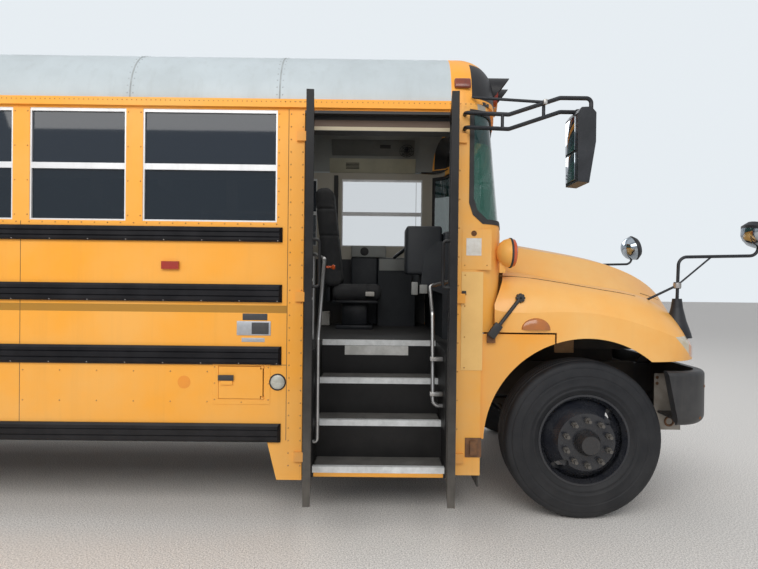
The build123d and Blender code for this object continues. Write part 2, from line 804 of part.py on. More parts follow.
def front_axle():
    beam_z = wheel_z
    x = front_axle_x
    half = kingpin_y - 30
    beam = block(x - 45, x + 45, -half, half, beam_z - 65, beam_z + 20)
    beam -= block(x - 46, x - 18, 60 - half, half - 60, beam_z - 55, beam_z)
    beam -= block(x + 18, x + 46, 60 - half, half - 60, beam_z - 55, beam_z)
    for side in (1, -1):
        y = side * kingpin_y
        beam += Pos(front_axle_x, y, beam_z - 10) * Cylinder(44, 110)
        beam -= Pos(front_axle_x, y, beam_z) * Cylinder(kingpin_r + fit_gap, 400)
    beam += leaf_spring(front_axle_x, rail_out_y - 80, 560, 75)
    beam += mirrored(leaf_spring(front_axle_x, rail_out_y - 80, 560, 75))
    return beam


def knuckle():
    """The left steering knuckle: two ears round the axle's eye, kingpin, stub axle and arm."""
    x, y, z = front_axle_x, kingpin_y, wheel_z
    mid = z - 10
    piece = Pos(x, y, mid + 55 + fit_gap + 22) * Cylinder(42, 44)
    piece += Pos(x, y, mid - 55 - fit_gap - 22) * Cylinder(42, 44)
    piece += Pos(x, y, mid) * Cylinder(kingpin_r, 200)
    cheek = block(x - 42, x + 42, y + 44.6, y + 78, mid - 99, mid + 99)
    ears = block(x - 42, x + 42, y, y + 60, mid + 55 + fit_gap, mid + 99)
    ears += block(x - 42, x + 42, y, y + 60, mid - 99, mid - 55 - fit_gap)
    piece += cheek + ears
    piece += rod((x, y + 60, z), (x, front_track_half + 150, z), stub_r)
    ball_x, ball_y = tie_ball(1)
    arm = [
        (x - 20, y + 60),
        (x - 42, y + 5),
        (ball_x - 28, ball_y - 22),
        (ball_x - 28, ball_y + 28),
        (x - 42, y + 78),
        (x - 20, y + 78),
    ]
    line = Polyline(*[(px, py, mid - 99) for px, py in arm], close=True)
    piece += extrude(make_face(line), amount=30, dir=(0, 0, 1))
    piece -= Pos(ball_x, ball_y, mid - 80) * Cylinder(12 + fit_gap, 120)
    return piece


def tie_ball(side):
    """The tie rod's pin on a steering arm, as (x, y)."""
    return front_axle_x - 190.0, side * kingpin_y


def tie_rod():
    z = wheel_z - 10 - 99
    x, y = tie_ball(1)
    bar = rod((x, -y, z - 22), (x, y, z - 22), 20)
    for side in (1, -1):
        bar += Pos(x, side * y, z - 22) * Cylinder(26, 43)
        bar += Pos(x, side * y, z + 5) * Cylinder(12, 54)
    return bar


def rear_axle():
    z = wheel_z
    x = rear_axle_x
    housing = rod((x, -600, z), (x, 600, z), 70)
    housing += rod((x, -rear_track_half - 120, z), (x, rear_track_half + 120, z), 48)
    housing += Pos(x, 0, z) * Rot(0, 90, 0) * Cylinder(190, 220)
    housing += rod((x + 100, 0, z), (x + 330, 0, z + 20), 75)
    housing += drive_shaft()
    for side in (1, -1):
        spring = leaf_spring(x, rail_out_y - 85, 640, 85)
        housing += spring if side > 0 else mirrored(spring)
    return housing


def drive_line():
    """Engine and gearbox as one plain block, resting on the frame's cross members."""
    x = front_axle_x
    engine = block(x - 380, x + 520, -320, 320, 915, 1420)
    engine += block(x - 300, x + 280, -190, 190, 640, 915)
    engine += block(x - 1240, x - 290, -190, 190, 640, 835)
    return engine


def drive_shaft():
    x0 = front_axle_x - 1240
    x1 = rear_axle_x + 330
    mid = -3500.0 + front_axle_x
    shaft = rod((x0 + 20, 0, 735), (mid, 0, 660), 48)
    shaft += rod((mid, 0, 660), (x1, 0, wheel_z + 20), 48)
    shaft -= block(x0, x0 + 100, -100, 100, 600, 900)
    shaft += Sphere(60).moved(Location((mid, 0, 660)))
    hanger = block(mid - 25, mid + 25, -20, 20, 690, 845)
    return shaft + hanger


def fuel_tank():
    x0, x1 = front_axle_x - 3300, front_axle_x - 2060
    tank = block(x0, x1, -body_half_w + 139, -500, 560, 905)
    tank = fillet(tank.edges().filter_by(Axis.X), 60)
    for x in (x0 + 200, x1 - 200):
        tank += block(x - 40, x + 40, -520, -rail_out_y, 700, 780)
    return tank


def exhaust():
    y = 575.0
    z = 760.0
    muffler = rod((front_axle_x - 3500, y, z), (front_axle_x - 2300, y, z), 130)
    tail = tube(
        [
            (front_axle_x - 3490, y, z),
            (rear_axle_x + 900, y, z + 40),
            (rear_axle_x + 500, y - 50, 850),
            (rear_axle_x - 700, y - 50, 850),
            (rear_axle_x - 1250, y - 50, 440),
            (body_rear_x - 60, y - 50, 440),
        ],
        50,
        150,
    )
    piece = muffler + tail
    for x in (front_axle_x - 3300, front_axle_x - 2500):
        piece += block(x - 25, x + 25, rail_out_y, y, 745, 775)
    x = body_rear_x + 700
    piece += block(x - 20, x + 20, rail_out_y, rail_out_y + 12, 430, 720)
    piece += block(x - 20, x + 20, rail_out_y, y - 60, 430, 450)
    return piece


# Bumpers
bumper_half_w = body_half_w - 19
bumper_front_x = front_axle_x + 850
bumper_high_z = 972.0
bumper_low_z = 623.0


def bumper_plan(z, inset, low_back):
    """The front bumper's plan: straight front, round corners and short side returns."""
    radius = 250.0 - inset
    half = bumper_half_w - inset
    front = bumper_front_x - inset
    end_x = front_axle_x + 512 + low_back
    s = math.sin(math.radians(45))
    cx = front - radius
    cy = half - radius
    return [
        Line((end_x, -half, z), (cx, -half, z)),
        ThreePointArc((cx, -half, z), (cx + radius * s, -cy - radius * s, z), (front, -cy, z)),
        Line((front, -cy, z), (front, cy, z)),
        ThreePointArc((front, cy, z), (cx + radius * s, cy + radius * s, z), (cx, half, z)),
        Line((cx, half, z), (end_x, half, z)),
        Line((end_x, half, z), (end_x, -half, z)),
    ]


def front_bumper():
    height = bumper_high_z - bumper_low_z
    outer = extrude(make_face(Wire(bumper_plan(bumper_low_z, 0, 0))), amount=height, dir=(0, 0, 1))
    for z, radius in ((bumper_high_z, 28), (bumper_low_z, 60)):
        level = [e for e in outer.edges() if abs(e.center().Z - z) < 1]
        outer = fillet([e for e in level if e.center().X > front_axle_x + 530], radius)
    inner = extrude(make_face(Wire(bumper_plan(bumper_low_z + 14, 66, -300))), amount=400, dir=(0, 0, 1))
    half = bumper_half_w - 50
    low_inner = block(front_axle_x, bumper_front_x - 200, -half, half, bumper_low_z - 10, bumper_low_z + 20)
    shell = outer - inner - low_inner
    end_x = front_axle_x + 512
    slope = [
        (end_x - 12, bumper_low_z - 1),
        (end_x + 73, bumper_low_z - 1),
        (end_x, bumper_high_z + 1),
        (end_x - 12, bumper_high_z + 1),
    ]
    shell -= side_prism(slope, -bumper_half_w - 100, bumper_half_w + 100)
    for side in (1, -1):
        ya, yb = sorted((side * 345, side * 425))
        shell += block(front_axle_x + 640, bumper_front_x - 50, ya, yb, 700, 920)
    return shell + bonnet_pivots()


def rear_bumper():
    x = body_rear_x
    half = bumper_half_w
    beam = block(x - 150, x - 20, -half, half, 560, 790)
    beam = fillet([e for e in beam.edges().filter_by(Axis.Z) if e.center().X < x - 100], 60)
    beam -= block(x - 138, x + 1, 12 - half, half - 12, 572, 778)
    beam += block(x - 140, x - 20, 100 - half, half - 100, 660, 690)
    for side in (1, -1):
        ya, yb = sorted((side * 345, side * 425))
        beam += block(x - 140, x, ya, yb, 690, 770)
    return beam


# Bonnet: sections from the cowl to the nose, as half outlines of the outer skin
# Each y is how far the point lies inboard of the body's side.
bonnet_sections = [
    # x, wing foot y, wing side z, wing crest (y, z), crease (y, z), bonnet edge (y, z), crown z
    (-600, 29, 1360, (114, 1500), (234, 1585), (404, 1806), 1868),
    (-150, 25, 1350, (109, 1490), (279, 1560), (474, 1752), 1822),
    (250, 31, 1300, (114, 1430), (329, 1500), (554, 1688), 1752),
    (560, 69, 1200, (159, 1325), (399, 1415), (629, 1590), 1648),
    (740, 179, 1130, (259, 1220), (459, 1310), (674, 1472), 1520),
    (820, 314, 1090, (379, 1160), (519, 1240), (709, 1370), 1405),
]


def bonnet_outline(row, inset):
    """One closed section: wing side, wing arc, bonnet side and crown arc, then its mirror image."""
    x, foot_in, side_z, crest, crease, edge, crown_z = row
    x += front_axle_x
    low = nose_low_z - 80 - inset
    foot_y = body_half_w - foot_in
    p0 = (foot_y - inset, low)
    p1 = (foot_y - inset, side_z - inset)
    p2 = (body_half_w - crest[0] - inset * 0.8, crest[1] - inset)
    p3 = (body_half_w - crease[0] - inset * 0.3, crease[1] - inset * 1.2)
    p4 = (body_half_w - edge[0] - inset * 0.8, edge[1] - inset)
    top = crown_z - inset

    def at(p, side):
        return (x, side * p[0], p[1])

    outline = [
        Line(at(p0, -1), at(p1, -1)),
        ThreePointArc(at(p1, -1), at(p2, -1), at(p3, -1)),
        Line(at(p3, -1), at(p4, -1)),
        ThreePointArc(at(p4, -1), (x, 0, top), at(p4, 1)),
        Line(at(p4, 1), at(p3, 1)),
        ThreePointArc(at(p3, 1), at(p2, 1), at(p1, 1)),
        Line(at(p1, 1), at(p0, 1)),
        Line(at(p0, 1), at(p0, -1)),
    ]
    return make_face(Wire(outline))


def bonnet_form(inset):
    rows = [list(r) for r in bonnet_sections]
    rows[-1][0] -= inset
    return loft([bonnet_outline(r, inset) for r in rows])


def headlamp_space(grow):
    points = [
        (front_axle_x + 585 - grow, 1192 + grow),
        (front_axle_x + 900, 1192 + grow),
        (front_axle_x + 900, 1046 - grow),
        (front_axle_x + 748 - grow, 1046 - grow),
    ]
    y0 = body_half_w - 579 - grow
    y1 = body_half_w + 81
    return side_prism(points, -y1, -y0) + side_prism(points, y0, y1)


grille_half = 500.0
grille_high_z = 1330.0


def grille_space(grow):
    points = [
        (-grille_half + 60 - grow, nose_low_z - 200),
        (grille_half - 60 + grow, nose_low_z - 200),
        (grille_half + grow, 1180),
        (grille_half - 60 + grow, grille_high_z + grow),
        (-grille_half + 60 - grow, grille_high_z + grow),
        (-grille_half - grow, 1180),
    ]
    return end_prism(points, front_axle_x + 700, front_axle_x + 1000)


def bonnet_trim(shape):
    """Cuts the arches, the low edge and the rear edge that follows the cowl's bow."""
    split_x = fender_front_x + shut_gap
    shape -= block(front_axle_x - 700, split_x, -1400, 1400, nose_low_z - 200, bonnet_low_z)
    shape -= block(split_x - 1, front_axle_x + 1000, -1400, 1400, nose_low_z - 200, nose_low_z)
    for side in (1, -1):
        shape -= Pos(front_axle_x, side * 980, wheel_z) * Rot(90, 0, 0) * Cylinder(arch_r, 860)
    gap = bow_prism(nose_low_z - 200, roof_z, shut_gap, -shut_gap, front_axle_x - 800)
    return shape - gap


def bonnet():
    shell = bonnet_form(0) - bonnet_form(bonnet_t)
    shell = bonnet_trim(shell)
    shell -= headlamp_space(0)
    shell -= grille_space(0)
    return shell


def headlamps():
    lens = (bonnet_form(0) - bonnet_form(45)) & headlamp_space(0)
    return Compound(children=lens.solids())


def grille():
    """A dark surround with upright bars, set in the nose."""
    x = front_axle_x + 820
    space = grille_space(0) & block(x - 45, x + 4, -700, 700, nose_low_z, 1400)
    open_space = grille_space(-42) & block(x - 60, x + 30, -700, 700, nose_low_z + 40, 1400)
    frame = space - open_space
    inside = grille_space(-20) & block(x - 60, x + 30, -700, 700, nose_low_z + 10, 1400)
    for i in range(-7, 8):
        y = i * 60.0
        frame += block(x - 34, x - 4, y - 9, y + 9, nose_low_z + 20, 1400) & inside
    for y in (-395, -356, 356, 395):
        ear = block(pivot_x - 14, pivot_x + 14, y - 6, y + 6, pivot_z, nose_low_z + 5)
        ear += Pos(pivot_x, y, pivot_z) * Rot(90, 0, 0) * Cylinder(16, 12)
        frame += ear - Pos(pivot_x, y, pivot_z) * Rot(90, 0, 0) * Cylinder(pivot_r + fit_gap, 40)
    return frame


def bonnet_pivots():
    """The fixed pivot brackets on the bumper's arms, each with a pin through its plate."""
    profile = [
        (pivot_x - 90, 900),
        (pivot_x - 90, 940),
        (pivot_x - 16, pivot_z + 12),
        (pivot_x + 10, pivot_z + 12),
        (pivot_x + 14, pivot_z - 8),
        (pivot_x + 4, 975),
        (pivot_x - 10, 900),
    ]
    brackets = None
    for y in (-375.5, 375.5):
        plate = side_prism(profile, y - 12, y + 12)
        plate += rod((pivot_x, y - 28, pivot_z), (pivot_x, y + 28, pivot_z), pivot_r)
        brackets = plate if brackets is None else brackets + plate
    return brackets


# Tyres and wheels
bead_r = 288.0
bead_half_w = 112.0
stud_circle_r = 142.875
stud_count = 10
stud_r = 11.0
stud_len = 60.0
nut_t = 26.0
disc_face = disc_outset + 2
hub_r = 80.0


def tyre(x, y):
    """The rubber: beads, bulged sidewalls, sloped shoulders and the tread."""
    half = [
        (bead_r, bead_half_w),
        (rim_flange_r + 4, bead_half_w + 3),
        (400, tyre_half_w),
        (484, tyre_half_w - 13),
        (tyre_r, tread_half_w),
    ]
    outline = [(r, -d) for r, d in half] + [(r, d) for r, d in reversed(half)]
    return lathe_y(outline, x, y, wheel_z)


def rim(x, y, out):
    """A disc wheel: the rim with its flanges and the dished disc with two hand holes."""
    barrel = [
        (rim_flange_r, 124),
        (bead_r, bead_half_w),
        (bead_r, -bead_half_w),
        (rim_flange_r, -124),
        (284, -124),
        (262, -90),
        (262, 90),
        (284, 124),
    ]
    wheel = lathe_y(barrel, x, y, wheel_z, out)
    dish = [
        (264, 36),
        (264, 60),
        (218, 118),
        (184, disc_face),
        (hub_r, disc_face),
        (hub_r, disc_face - 12),
        (176, disc_face - 12),
        (240, 40),
    ]
    wheel += lathe_y(dish, x, y, wheel_z, out)
    hand_hole = extrude(SlotOverall(100, 52), amount=60, both=True)
    hand_hole_circle_r = 218
    for angle in (45, 225):
        a = math.radians(angle)
        dx = hand_hole_circle_r * math.cos(a)
        dz = hand_hole_circle_r * math.sin(a)
        place = Pos(x + dx, y + out * 110, wheel_z + dz) * Rot(90, 0, 0) * Rot(0, 0, 90 - angle)
        wheel -= place * hand_hole
    return wheel


def studs(x, y, out):
    """Ten nuts on their studs, standing on the disc's face."""
    pieces = None
    for i in range(stud_count):
        a = math.radians(360 / stud_count * (i + 0.5))
        place = Pos(x + stud_circle_r * math.cos(a), y, wheel_z + stud_circle_r * math.sin(a)) * Rot(90, 0, 0)
        nut = extrude(RegularPolygon(19, 6), amount=-out * nut_t)
        stud = extrude(Circle(stud_r), amount=-out * stud_len)
        piece = place * (nut + stud)
        pieces = piece if pieces is None else pieces + piece
    return pieces


# The left wheel rests turned half a stud pitch from the right one
left_wheel_turn = 180.0 / stud_count
front_axle_line = Axis((front_axle_x, 0, wheel_z), (0, 1, 0))


def front_wheel():
    """The left front wheel with its brake drum and hub, bored for the stub axle."""
    y = front_track_half
    wheel = rim(front_axle_x, y, 1) + studs(front_axle_x, y + disc_face, 1)
    drum = [
        (198, -30),
        (210, -30),
        (210, 128),
        (hub_r, disc_face - 12),
        (hub_r, disc_face + 34),
        (58, disc_face + 78),
        (0, disc_face + 78),
        (0, 155),
        (stub_r + fit_gap, 155),
        (stub_r + fit_gap, -20),
        (70, -20),
        (70, 116),
        (198, 116),
    ]
    return wheel + lathe_y(drum, front_axle_x, y, wheel_z)


def rear_wheels():
    """The left pair of rear wheels, disc to disc on one hub with its brake drum."""
    outer = rim(rear_axle_x, rear_track_half + disc_face, -1)
    inner = rim(rear_axle_x, rear_track_half - disc_face, 1)
    nuts = studs(rear_axle_x, rear_track_half + 12, 1)
    drum = [
        (198, -190),
        (210, -190),
        (210, -30),
        (hub_r, -12),
        (hub_r, 118),
        (66, 130),
        (0, 130),
        (0, 122),
        (48 + fit_gap, 122),
        (48 + fit_gap, -180),
        (80, -180),
        (80, -42),
        (198, -42),
    ]
    return outer + inner + nuts + lathe_y(drum, rear_axle_x, rear_track_half, wheel_z)


def rear_tyres():
    """The left pair of tyres, one on each rim."""
    outer = tyre(rear_axle_x, rear_track_half + disc_face)
    inner = tyre(rear_axle_x, rear_track_half - disc_face)
    return Compound(children=[*outer.solids(), *inner.solids()])


# Steering wheel on its column
steer_x = front_axle_x - 1010.0
steer_y = 610.0
steer_z = 1900.0
steer_tilt = 38.0
steer_r = 225.0


def steering_place():
    return Pos(steer_x, steer_y, steer_z) * Rot(0, -steer_tilt, 0)


def steering_wheel():
    ring = Plane.XZ * Pos(steer_r, 0) * RegularPolygon(15, 8)
    wheel = revolve(ring, Axis.Z, 360) + Cylinder(45, 50)
    for angle in (0, 120, 240):
        wheel += Rot(0, 0, angle) * Pos(steer_r / 2, 0, -5) * Box(steer_r, 34, 12)
    wheel += Pos(0, 0, -175) * Cylinder(19, 320)
    return steering_place() * wheel


def column():
    """The steering column, bored for the shaft, down to the toe board."""
    shroud = Pos(0, 0, -330) * Cylinder(40, 320) - Pos(0, 0, -250) * Cylinder(19 + fit_gap, 200)
    lower = steering_place() * shroud
    foot_x = toe_x - 30
    lower += rod((steer_x + 290, steer_y, steer_z - 372), (foot_x + 30, steer_y, floor_z + 60), 28)
    return lower - block(foot_x, foot_x + 60, 0, 1000, floor_z - floor_t, cowl_low_z + 40)


# Driver's area
def dashboard():
    """The dash along the front wall and the side console left of the driver."""
    x1 = toe_x - 30
    profile = [
        (x1, floor_z + 1),
        (x1, 1830),
        (x1 - 30, 1850),
        (x1 - 170, 1850),
        (x1 - 270, 1740),
        (x1 - 290, 1500),
        (x1 - 120, 1440),
        (x1 - 120, floor_z + 1),
    ]
    dash = side_prism(profile, -380, body_half_w - wall_t)
    shelf = block(x1 - 1, front_axle_x, -900, 900, 1500, 1850)
    dash += shelf & bow_prism(floor_z, waist_z, 0, front_wall_t, front_post_x)
    side_in = body_half_w - wall_t
    console = block(x1 - 620, x1 - 250, side_in - 304, side_in, floor_z + 1, 1760)
    dash += console
    cut = steering_place() * Pos(0, 0, -330) * Cylinder(46, 420)
    return dash - cut


def driver_seat():
    x = front_axle_x - 1560.0
    y = steer_y
    pedestal = block(x - 180, x + 180, y - 170, y + 170, floor_z, floor_z + 260)
    cushion = block(x - 240, x + 260, y - 240, y + 240, floor_z + 260, floor_z + 400)
    cushion = fillet(cushion.edges().filter_by(Axis.Y), 50)
    back = [(x - 250, 1440), (x - 130, 1440), (x - 230, 2280), (x - 260, 2440), (x - 330, 2440), (x - 350, 2250)]
    backrest = side_prism(back, y - 235, y + 235)
    return pedestal + cushion + backrest


bench_count = 11
bench_low = 450.0
bench_first_x = front_axle_x - 2760.0
bench_pitch = window_w + window_post_w
aisle_half = 210.0
rail_bar_r = 14.0
bench_out_y = body_half_w - wall_t - 34


def passenger_seats():
    """Benches in rows down both sides, high-backed and without arms."""
    rows = []
    for i in range(bench_count):
        x = bench_first_x - i * bench_pitch
        seat = [
            (x, floor_z + bench_low - 120),
            (x + 480, floor_z + bench_low - 120),
            (x + 500, floor_z + bench_low - 40),
            (x + 470, floor_z + bench_low),
            (x + 110, floor_z + bench_low - 10),
            (x + 10, floor_z + 1060),
            (x - 30, floor_z + 1080),
            (x - 70, floor_z + 1060),
            (x - 60, floor_z + bench_low - 120),
        ]
        for side in (1, -1):
            ya, yb = sorted((side * aisle_half, side * bench_out_y))
            rows += side_prism(seat, ya, yb).solids()
    return Compound(children=rows)


def seat_frames():
    """A leg on the aisle side of each bench and a rail along each wall."""
    legs = []
    for i in range(bench_count):
        x = bench_first_x - i * bench_pitch
        for side in (1, -1):
            y = side * (aisle_half + 90)
            leg = block(x + 40, x + 75, y - 15, y + 15, floor_z, floor_z + bench_low - 120)
            leg += block(x + 380, x + 415, y - 15, y + 15, floor_z, floor_z + bench_low - 120)
            leg += block(x + 40, x + 415, y - 15, y + 15, floor_z, floor_z + 30)
            legs += leg.solids()
    for side in (1, -1):
        ya, yb = sorted((side * bench_out_y, side * (body_half_w - wall_t)))
        x0 = bench_first_x - (bench_count - 1) * bench_pitch
        z0 = floor_z + bench_low - 100
        legs += block(x0, bench_first_x + 460, ya, yb, z0, z0 + 40).solids()
    return Compound(children=legs)


def grab_rails():
    """Bent handrails at both sides of the steps."""
    x = front_axle_x
    rear_y = body_half_w - 119
    front_y = body_half_w - 219
    rear = tube(
        [
            (x - 1840, 50 - floor_nosing_y, floor_z),
            (x - 1840, 50 - floor_nosing_y, 1740),
            (x - 1735, -rear_y + 400, 1690),
            (x - 1735, -rear_y, 1150),
            (x - 1735, -rear_y, 480),
            (well_rear_x, -rear_y, 480),
        ],
        rail_bar_r,
        24,
        8,
    )
    front = tube(
        [
            (toe_x - 31, -floor_nosing_y - 30, 1560),
            (x - 970, -front_y + 300, 1500),
            (x - 970, -front_y + 100, 1318),
            (x - 970, -front_y, 700),
            (well_front_x, -front_y, 700),
        ],
        rail_bar_r,
        45,
        8,
    )
    rear -= block(x - 1900, x - 1780, -floor_nosing_y, 200 - floor_nosing_y, floor_z - floor_t, floor_z)
    front -= block(toe_x - 31, toe_x + 60, -floor_nosing_y - 170, 130 - floor_nosing_y, 1400, 1700)
    return Compound(children=[*rear.solids(), *front.solids()])


# Outside mirrors: two arms from the body's corner carry the mirror's head
mirror_head_out = 140.0
mirror_head_in = 68.0


def side_mirror():
    """The right-hand mirror; points follow the arms from the body out to the loop."""
    x = front_axle_x
    side_y = -body_half_w
    near_y = side_y - 46
    bend_y = side_y - 131
    loop_y = side_y - 231
    arms = tube(
        [
            (x - 812, side_y, 2590),
            (x - 812, near_y, 2590),
            (x - 563, bend_y, 2556),
            (x - 285, loop_y, 2628),
            (x - 100, loop_y, 2628),
            (x - 100, loop_y, 2545),
            (x - 285, loop_y, 2545),
            (x - 563, bend_y, 2468),
            (x - 812, near_y, 2499),
            (x - 812, side_y, 2499),
        ],
        13,
        30,
        8,
    )
    brace = rod((x - 840, side_y + 49, 2720), (x - 372, loop_y + 30, 2612), 9)
    brace -= body_prism(cap_seam_x, front_axle_x, 0, eave_z)
    spacers = rod((x - 600, bend_y + 11, 2562), (x - 600, bend_y + 11, 2470), 10)
    spacers += rod((x - 372, loop_y + 32, 2612), (x - 372, loop_y + 32, 2520), 10)
    head = [
        (x - 228, 2500),
        (x - 205, 2534),
        (x - 150, 2537),
        (x - 122, 2505),
        (x - 122, 2340),
        (x - 158, 2106),
        (x - 222, 2112),
    ]
    shell = side_prism(head, loop_y - mirror_head_out, loop_y + mirror_head_in)
    stem = rod((x - 178, loop_y, 2520), (x - 178, loop_y, 2560), 14)
    return arms + brace + spacers + shell + stem


# Cross-view mirrors on bent posts at the bonnet's front corners
mirror_side_in = 264.0


def mirror_bowl(radius, depth):
    """A deep convex mirror in its shallow housing, about Z; the glass faces +Z."""
    outline = [
        (0, -0.45 * depth),
        (0.78 * radius, -0.3 * depth),
        (radius, 0),
        (0.86 * radius, 0.5 * depth),
        (0.5 * radius, 0.87 * depth),
        (0, depth),
    ]
    line = Polyline(*[(r, 0, z) for r, z in outline], close=True)
    return revolve(make_face(line), Axis.Z, 360)


def bonnet_mirror(aim):
    """The right-hand mirror; aim is how far the glass is turned down from facing the rear."""
    x = front_axle_x + 690
    y = -body_half_w + mirror_side_in
    base = [(0, 0), (95, 0), (88, 30), (60, 110), (38, 200), (30, 262), (0, 262)]
    line = Polyline(*[(r, 0, z) for r, z in base], close=True)
    cone = Pos(x, y, 1175) * revolve(make_face(line), Axis.Z, 360)
    post = tube(
        [
            (x, y, 1420),
            (x + 7, y, 1720),
            (x + 540, y, 1735),
            (x + 562, y, 1850),
        ],
        11,
        60,
        8,
    )
    stays = rod((x - 240, y + 40, 1400), (x, y, 1528), 8)
    stays += rod((x, y, 1528), (x + 230, y, 1724), 6)
    clamp = rod((x, y, 1505), (x, y, 1550), 22)
    head = Pos(x + 570, y, 1900) * Rot(0, -90 - aim, 0) * mirror_bowl(125, 120)
    return cone + post + stays + clamp + head


# Lamps
def cap_lamp(y):
    """A round flasher on the roof cap's front, cut to seat on it."""
    lamp = rod((bow_centre_x - 220, y, cap_lamp_z), (bow_centre_x - 40 - y * y / 8000, y, cap_lamp_z), 88)
    return lamp - cap_form(0, cap_seam_x, eave_z, True)


def red_lamps():
    """Rear stop and tail lamps, the rear flashers, side markers and their like on the roof."""
    x = body_rear_x
    lamps = []
    for side in (1, -1):
        for y_in, z, r in ((339, 2760, 88), (359, 1640, 88), (159, 1560, 55)):
            y = side * (body_half_w - y_in)
            lamps += rod((x - 22, y, z), (x, y, z), r).solids()
        ya, yb = sorted((side * body_half_w, side * (body_half_w + 20)))
        lamps += block(x + 300, x + 400, ya, yb, 1595, 1644).solids()
        lamps += cap_lamp(side * (body_half_w - 339)).solids()
    for y in (-160, 0, 160):
        lamps += block(x - 16, x, y - 45, y + 45, 2880, 2915).solids()
    marker_x = front_axle_x - 2656
    for side in (1, -1):
        ya, yb = sorted((side * body_half_w, side * (body_half_w + 20)))
        lamps += block(marker_x - 54, marker_x + 54, ya, yb, 1595, 1644).solids()
    return Compound(children=lamps)


def amber_lamps():
    """Turn lamps: rear rounds and the inner flashers of both roof caps."""
    x = body_rear_x
    lamps = []
    for side in (1, -1):
        for y_in, z, r in ((549, 2760, 88), (359, 1440, 70)):
            y = side * (body_half_w - y_in)
            lamps += rod((x - 22, y, z), (x, y, z), r).solids()
        lamps += cap_lamp(side * (body_half_w - 559)).solids()
    return Compound(children=lamps)


# Stop arm on the left wall: a blank eight-sided blade folded back against the body
stop_x = front_axle_x - 1200.0
stop_z = 1638.0
stop_hinge_y = body_half_w + 62.0
stop_blade_r = 229.0
stop_pin_r = 8.0


def stop_arm():
    hub = Pos(stop_x, stop_hinge_y, stop_z) * Cylinder(16, 150)
    blade_x = stop_x - 300
    place = Pos(blade_x, stop_hinge_y, stop_z) * Rot(90, 0, 0) * Rot(0, 0, 22.5)
    blade = place * extrude(RegularPolygon(stop_blade_r / math.cos(math.pi / 8), 8), amount=3, both=True)
    arms = block(blade_x, stop_x, stop_hinge_y - 8, stop_hinge_y + 8, stop_z - 60, stop_z - 30)
    arms += block(blade_x, stop_x, stop_hinge_y - 8, stop_hinge_y + 8, stop_z + 30, stop_z + 60)
    for z in (-150, 150):
        for way in (1, -1):
            ya, yb = sorted((stop_hinge_y + way * 3, stop_hinge_y + way * 22))
            arms += Pos(blade_x, (ya + yb) / 2, stop_z + z) * Rot(90, 0, 0) * Cylinder(45, yb - ya)
    return hub + blade + arms - Pos(stop_x, stop_hinge_y, stop_z) * Cylinder(stop_pin_r + fit_gap, 200)


def stop_arm_base():
    """The stop arm's motor box on the wall, with ears above and below the arm's hub."""
    x = stop_x
    y = body_half_w
    base = block(x - 70, x + 110, y, y + 34, stop_z - 125, stop_z + 125)
    for z in (-102, 102):
        ear = block(x - 22, x + 22, y + 30, stop_hinge_y, stop_z + z - 22, stop_z + z + 22)
        ear += Pos(x, stop_hinge_y, stop_z + z) * Cylinder(22, 44)
        base += ear
    return base + Pos(x, stop_hinge_y, stop_z) * Cylinder(stop_pin_r, 236)


# Crossing arm on the front bumper: a long hoop that swings forward
cross_x = bumper_front_x + 45.0
cross_y = 315 - bumper_half_w
cross_z = 760.0
cross_len = 1650.0


def crossing_arm():
    hub = Pos(cross_x, cross_y, cross_z) * Cylinder(18, 70)
    hoop = tube(
        [
            (cross_x, cross_y, cross_z + 22),
            (cross_x, cross_y + cross_len, cross_z + 22),
            (cross_x, cross_y + cross_len, cross_z - 22),
            (cross_x, cross_y, cross_z - 22),
        ],
        9,
        18,
        8,
    )
    return hub + hoop - Pos(cross_x, cross_y, cross_z) * Cylinder(9 + fit_gap, 200)


def crossing_base():
    """The crossing arm's motor box on the bumper's face."""
    x = bumper_front_x
    base = block(x, x + 22, cross_y - 60, cross_y + 60, cross_z - 75, cross_z + 75)
    for z in (-52, 52):
        base += block(x + 20, cross_x + 18, cross_y - 18, cross_y + 18, cross_z + z - 14, cross_z + z + 14)
    base += Pos(cross_x, cross_y, cross_z) * Cylinder(9, 110)
    return base


parts = {}
parts["left_wall"] = side_wall(False)
parts["right_wall"] = side_wall(True)
parts["fuel_door"] = fuel_door()
parts["rub_rails"] = all_rub_rails()
parts["window_frames"], side_panes = side_windows()
parts["window_glass"] = Compound(children=[*side_panes.solids(), *rear_panes()])
parts["roof"] = roof()
parts["front_hatch"] = hatch(hatch_xs["front"])
parts["rear_hatch"] = hatch(hatch_xs["rear"])
parts["front_cap"] = front_cap()
parts["windscreen_seal"] = windscreen_seal()
parts["windscreen"] = windscreen()
parts["cowl"] = cowl() + windscreen_frame()
parts["rear_fenders"] = both_sides(rear_fender())
parts["rear_end"] = rear_end()
parts["rear_door"], parts["rear_door_glass"] = rear_door()
parts["floor"] = floor()
parts["step_well"] = step_well()
parts["nosings"] = nosings()
parts["door_header"] = door_header()
parts["rear_leaf"], parts["rear_leaf_glass"] = door_leaf(True)
parts["front_leaf"], parts["front_leaf_glass"] = door_leaf(False)
fittings = [*leaf_hinges(), *rear_hinges(), *fuel_filler().solids(), *stop_arm_base().solids()]
parts["body_fittings"] = Compound(children=fittings)
parts["chassis_frame"] = chassis_frame()
parts["front_axle"] = front_axle()
parts["knuckle_left"] = knuckle()
parts["knuckle_right"] = mirrored(knuckle())
parts["tie_rod"] = tie_rod()
parts["rear_axle"] = rear_axle()
parts["engine"] = drive_line()
parts["fuel_tank"] = fuel_tank()
parts["exhaust"] = exhaust()
parts["front_bumper"] = Compound(children=[*front_bumper().solids(), *crossing_base().solids()])
parts["rear_bumper"] = rear_bumper()
parts["bonnet"] = bonnet()
parts["headlamps"] = headlamps()
parts["grille"] = grille()
parts["front_tyre_left"] = tyre(front_axle_x, front_track_half)
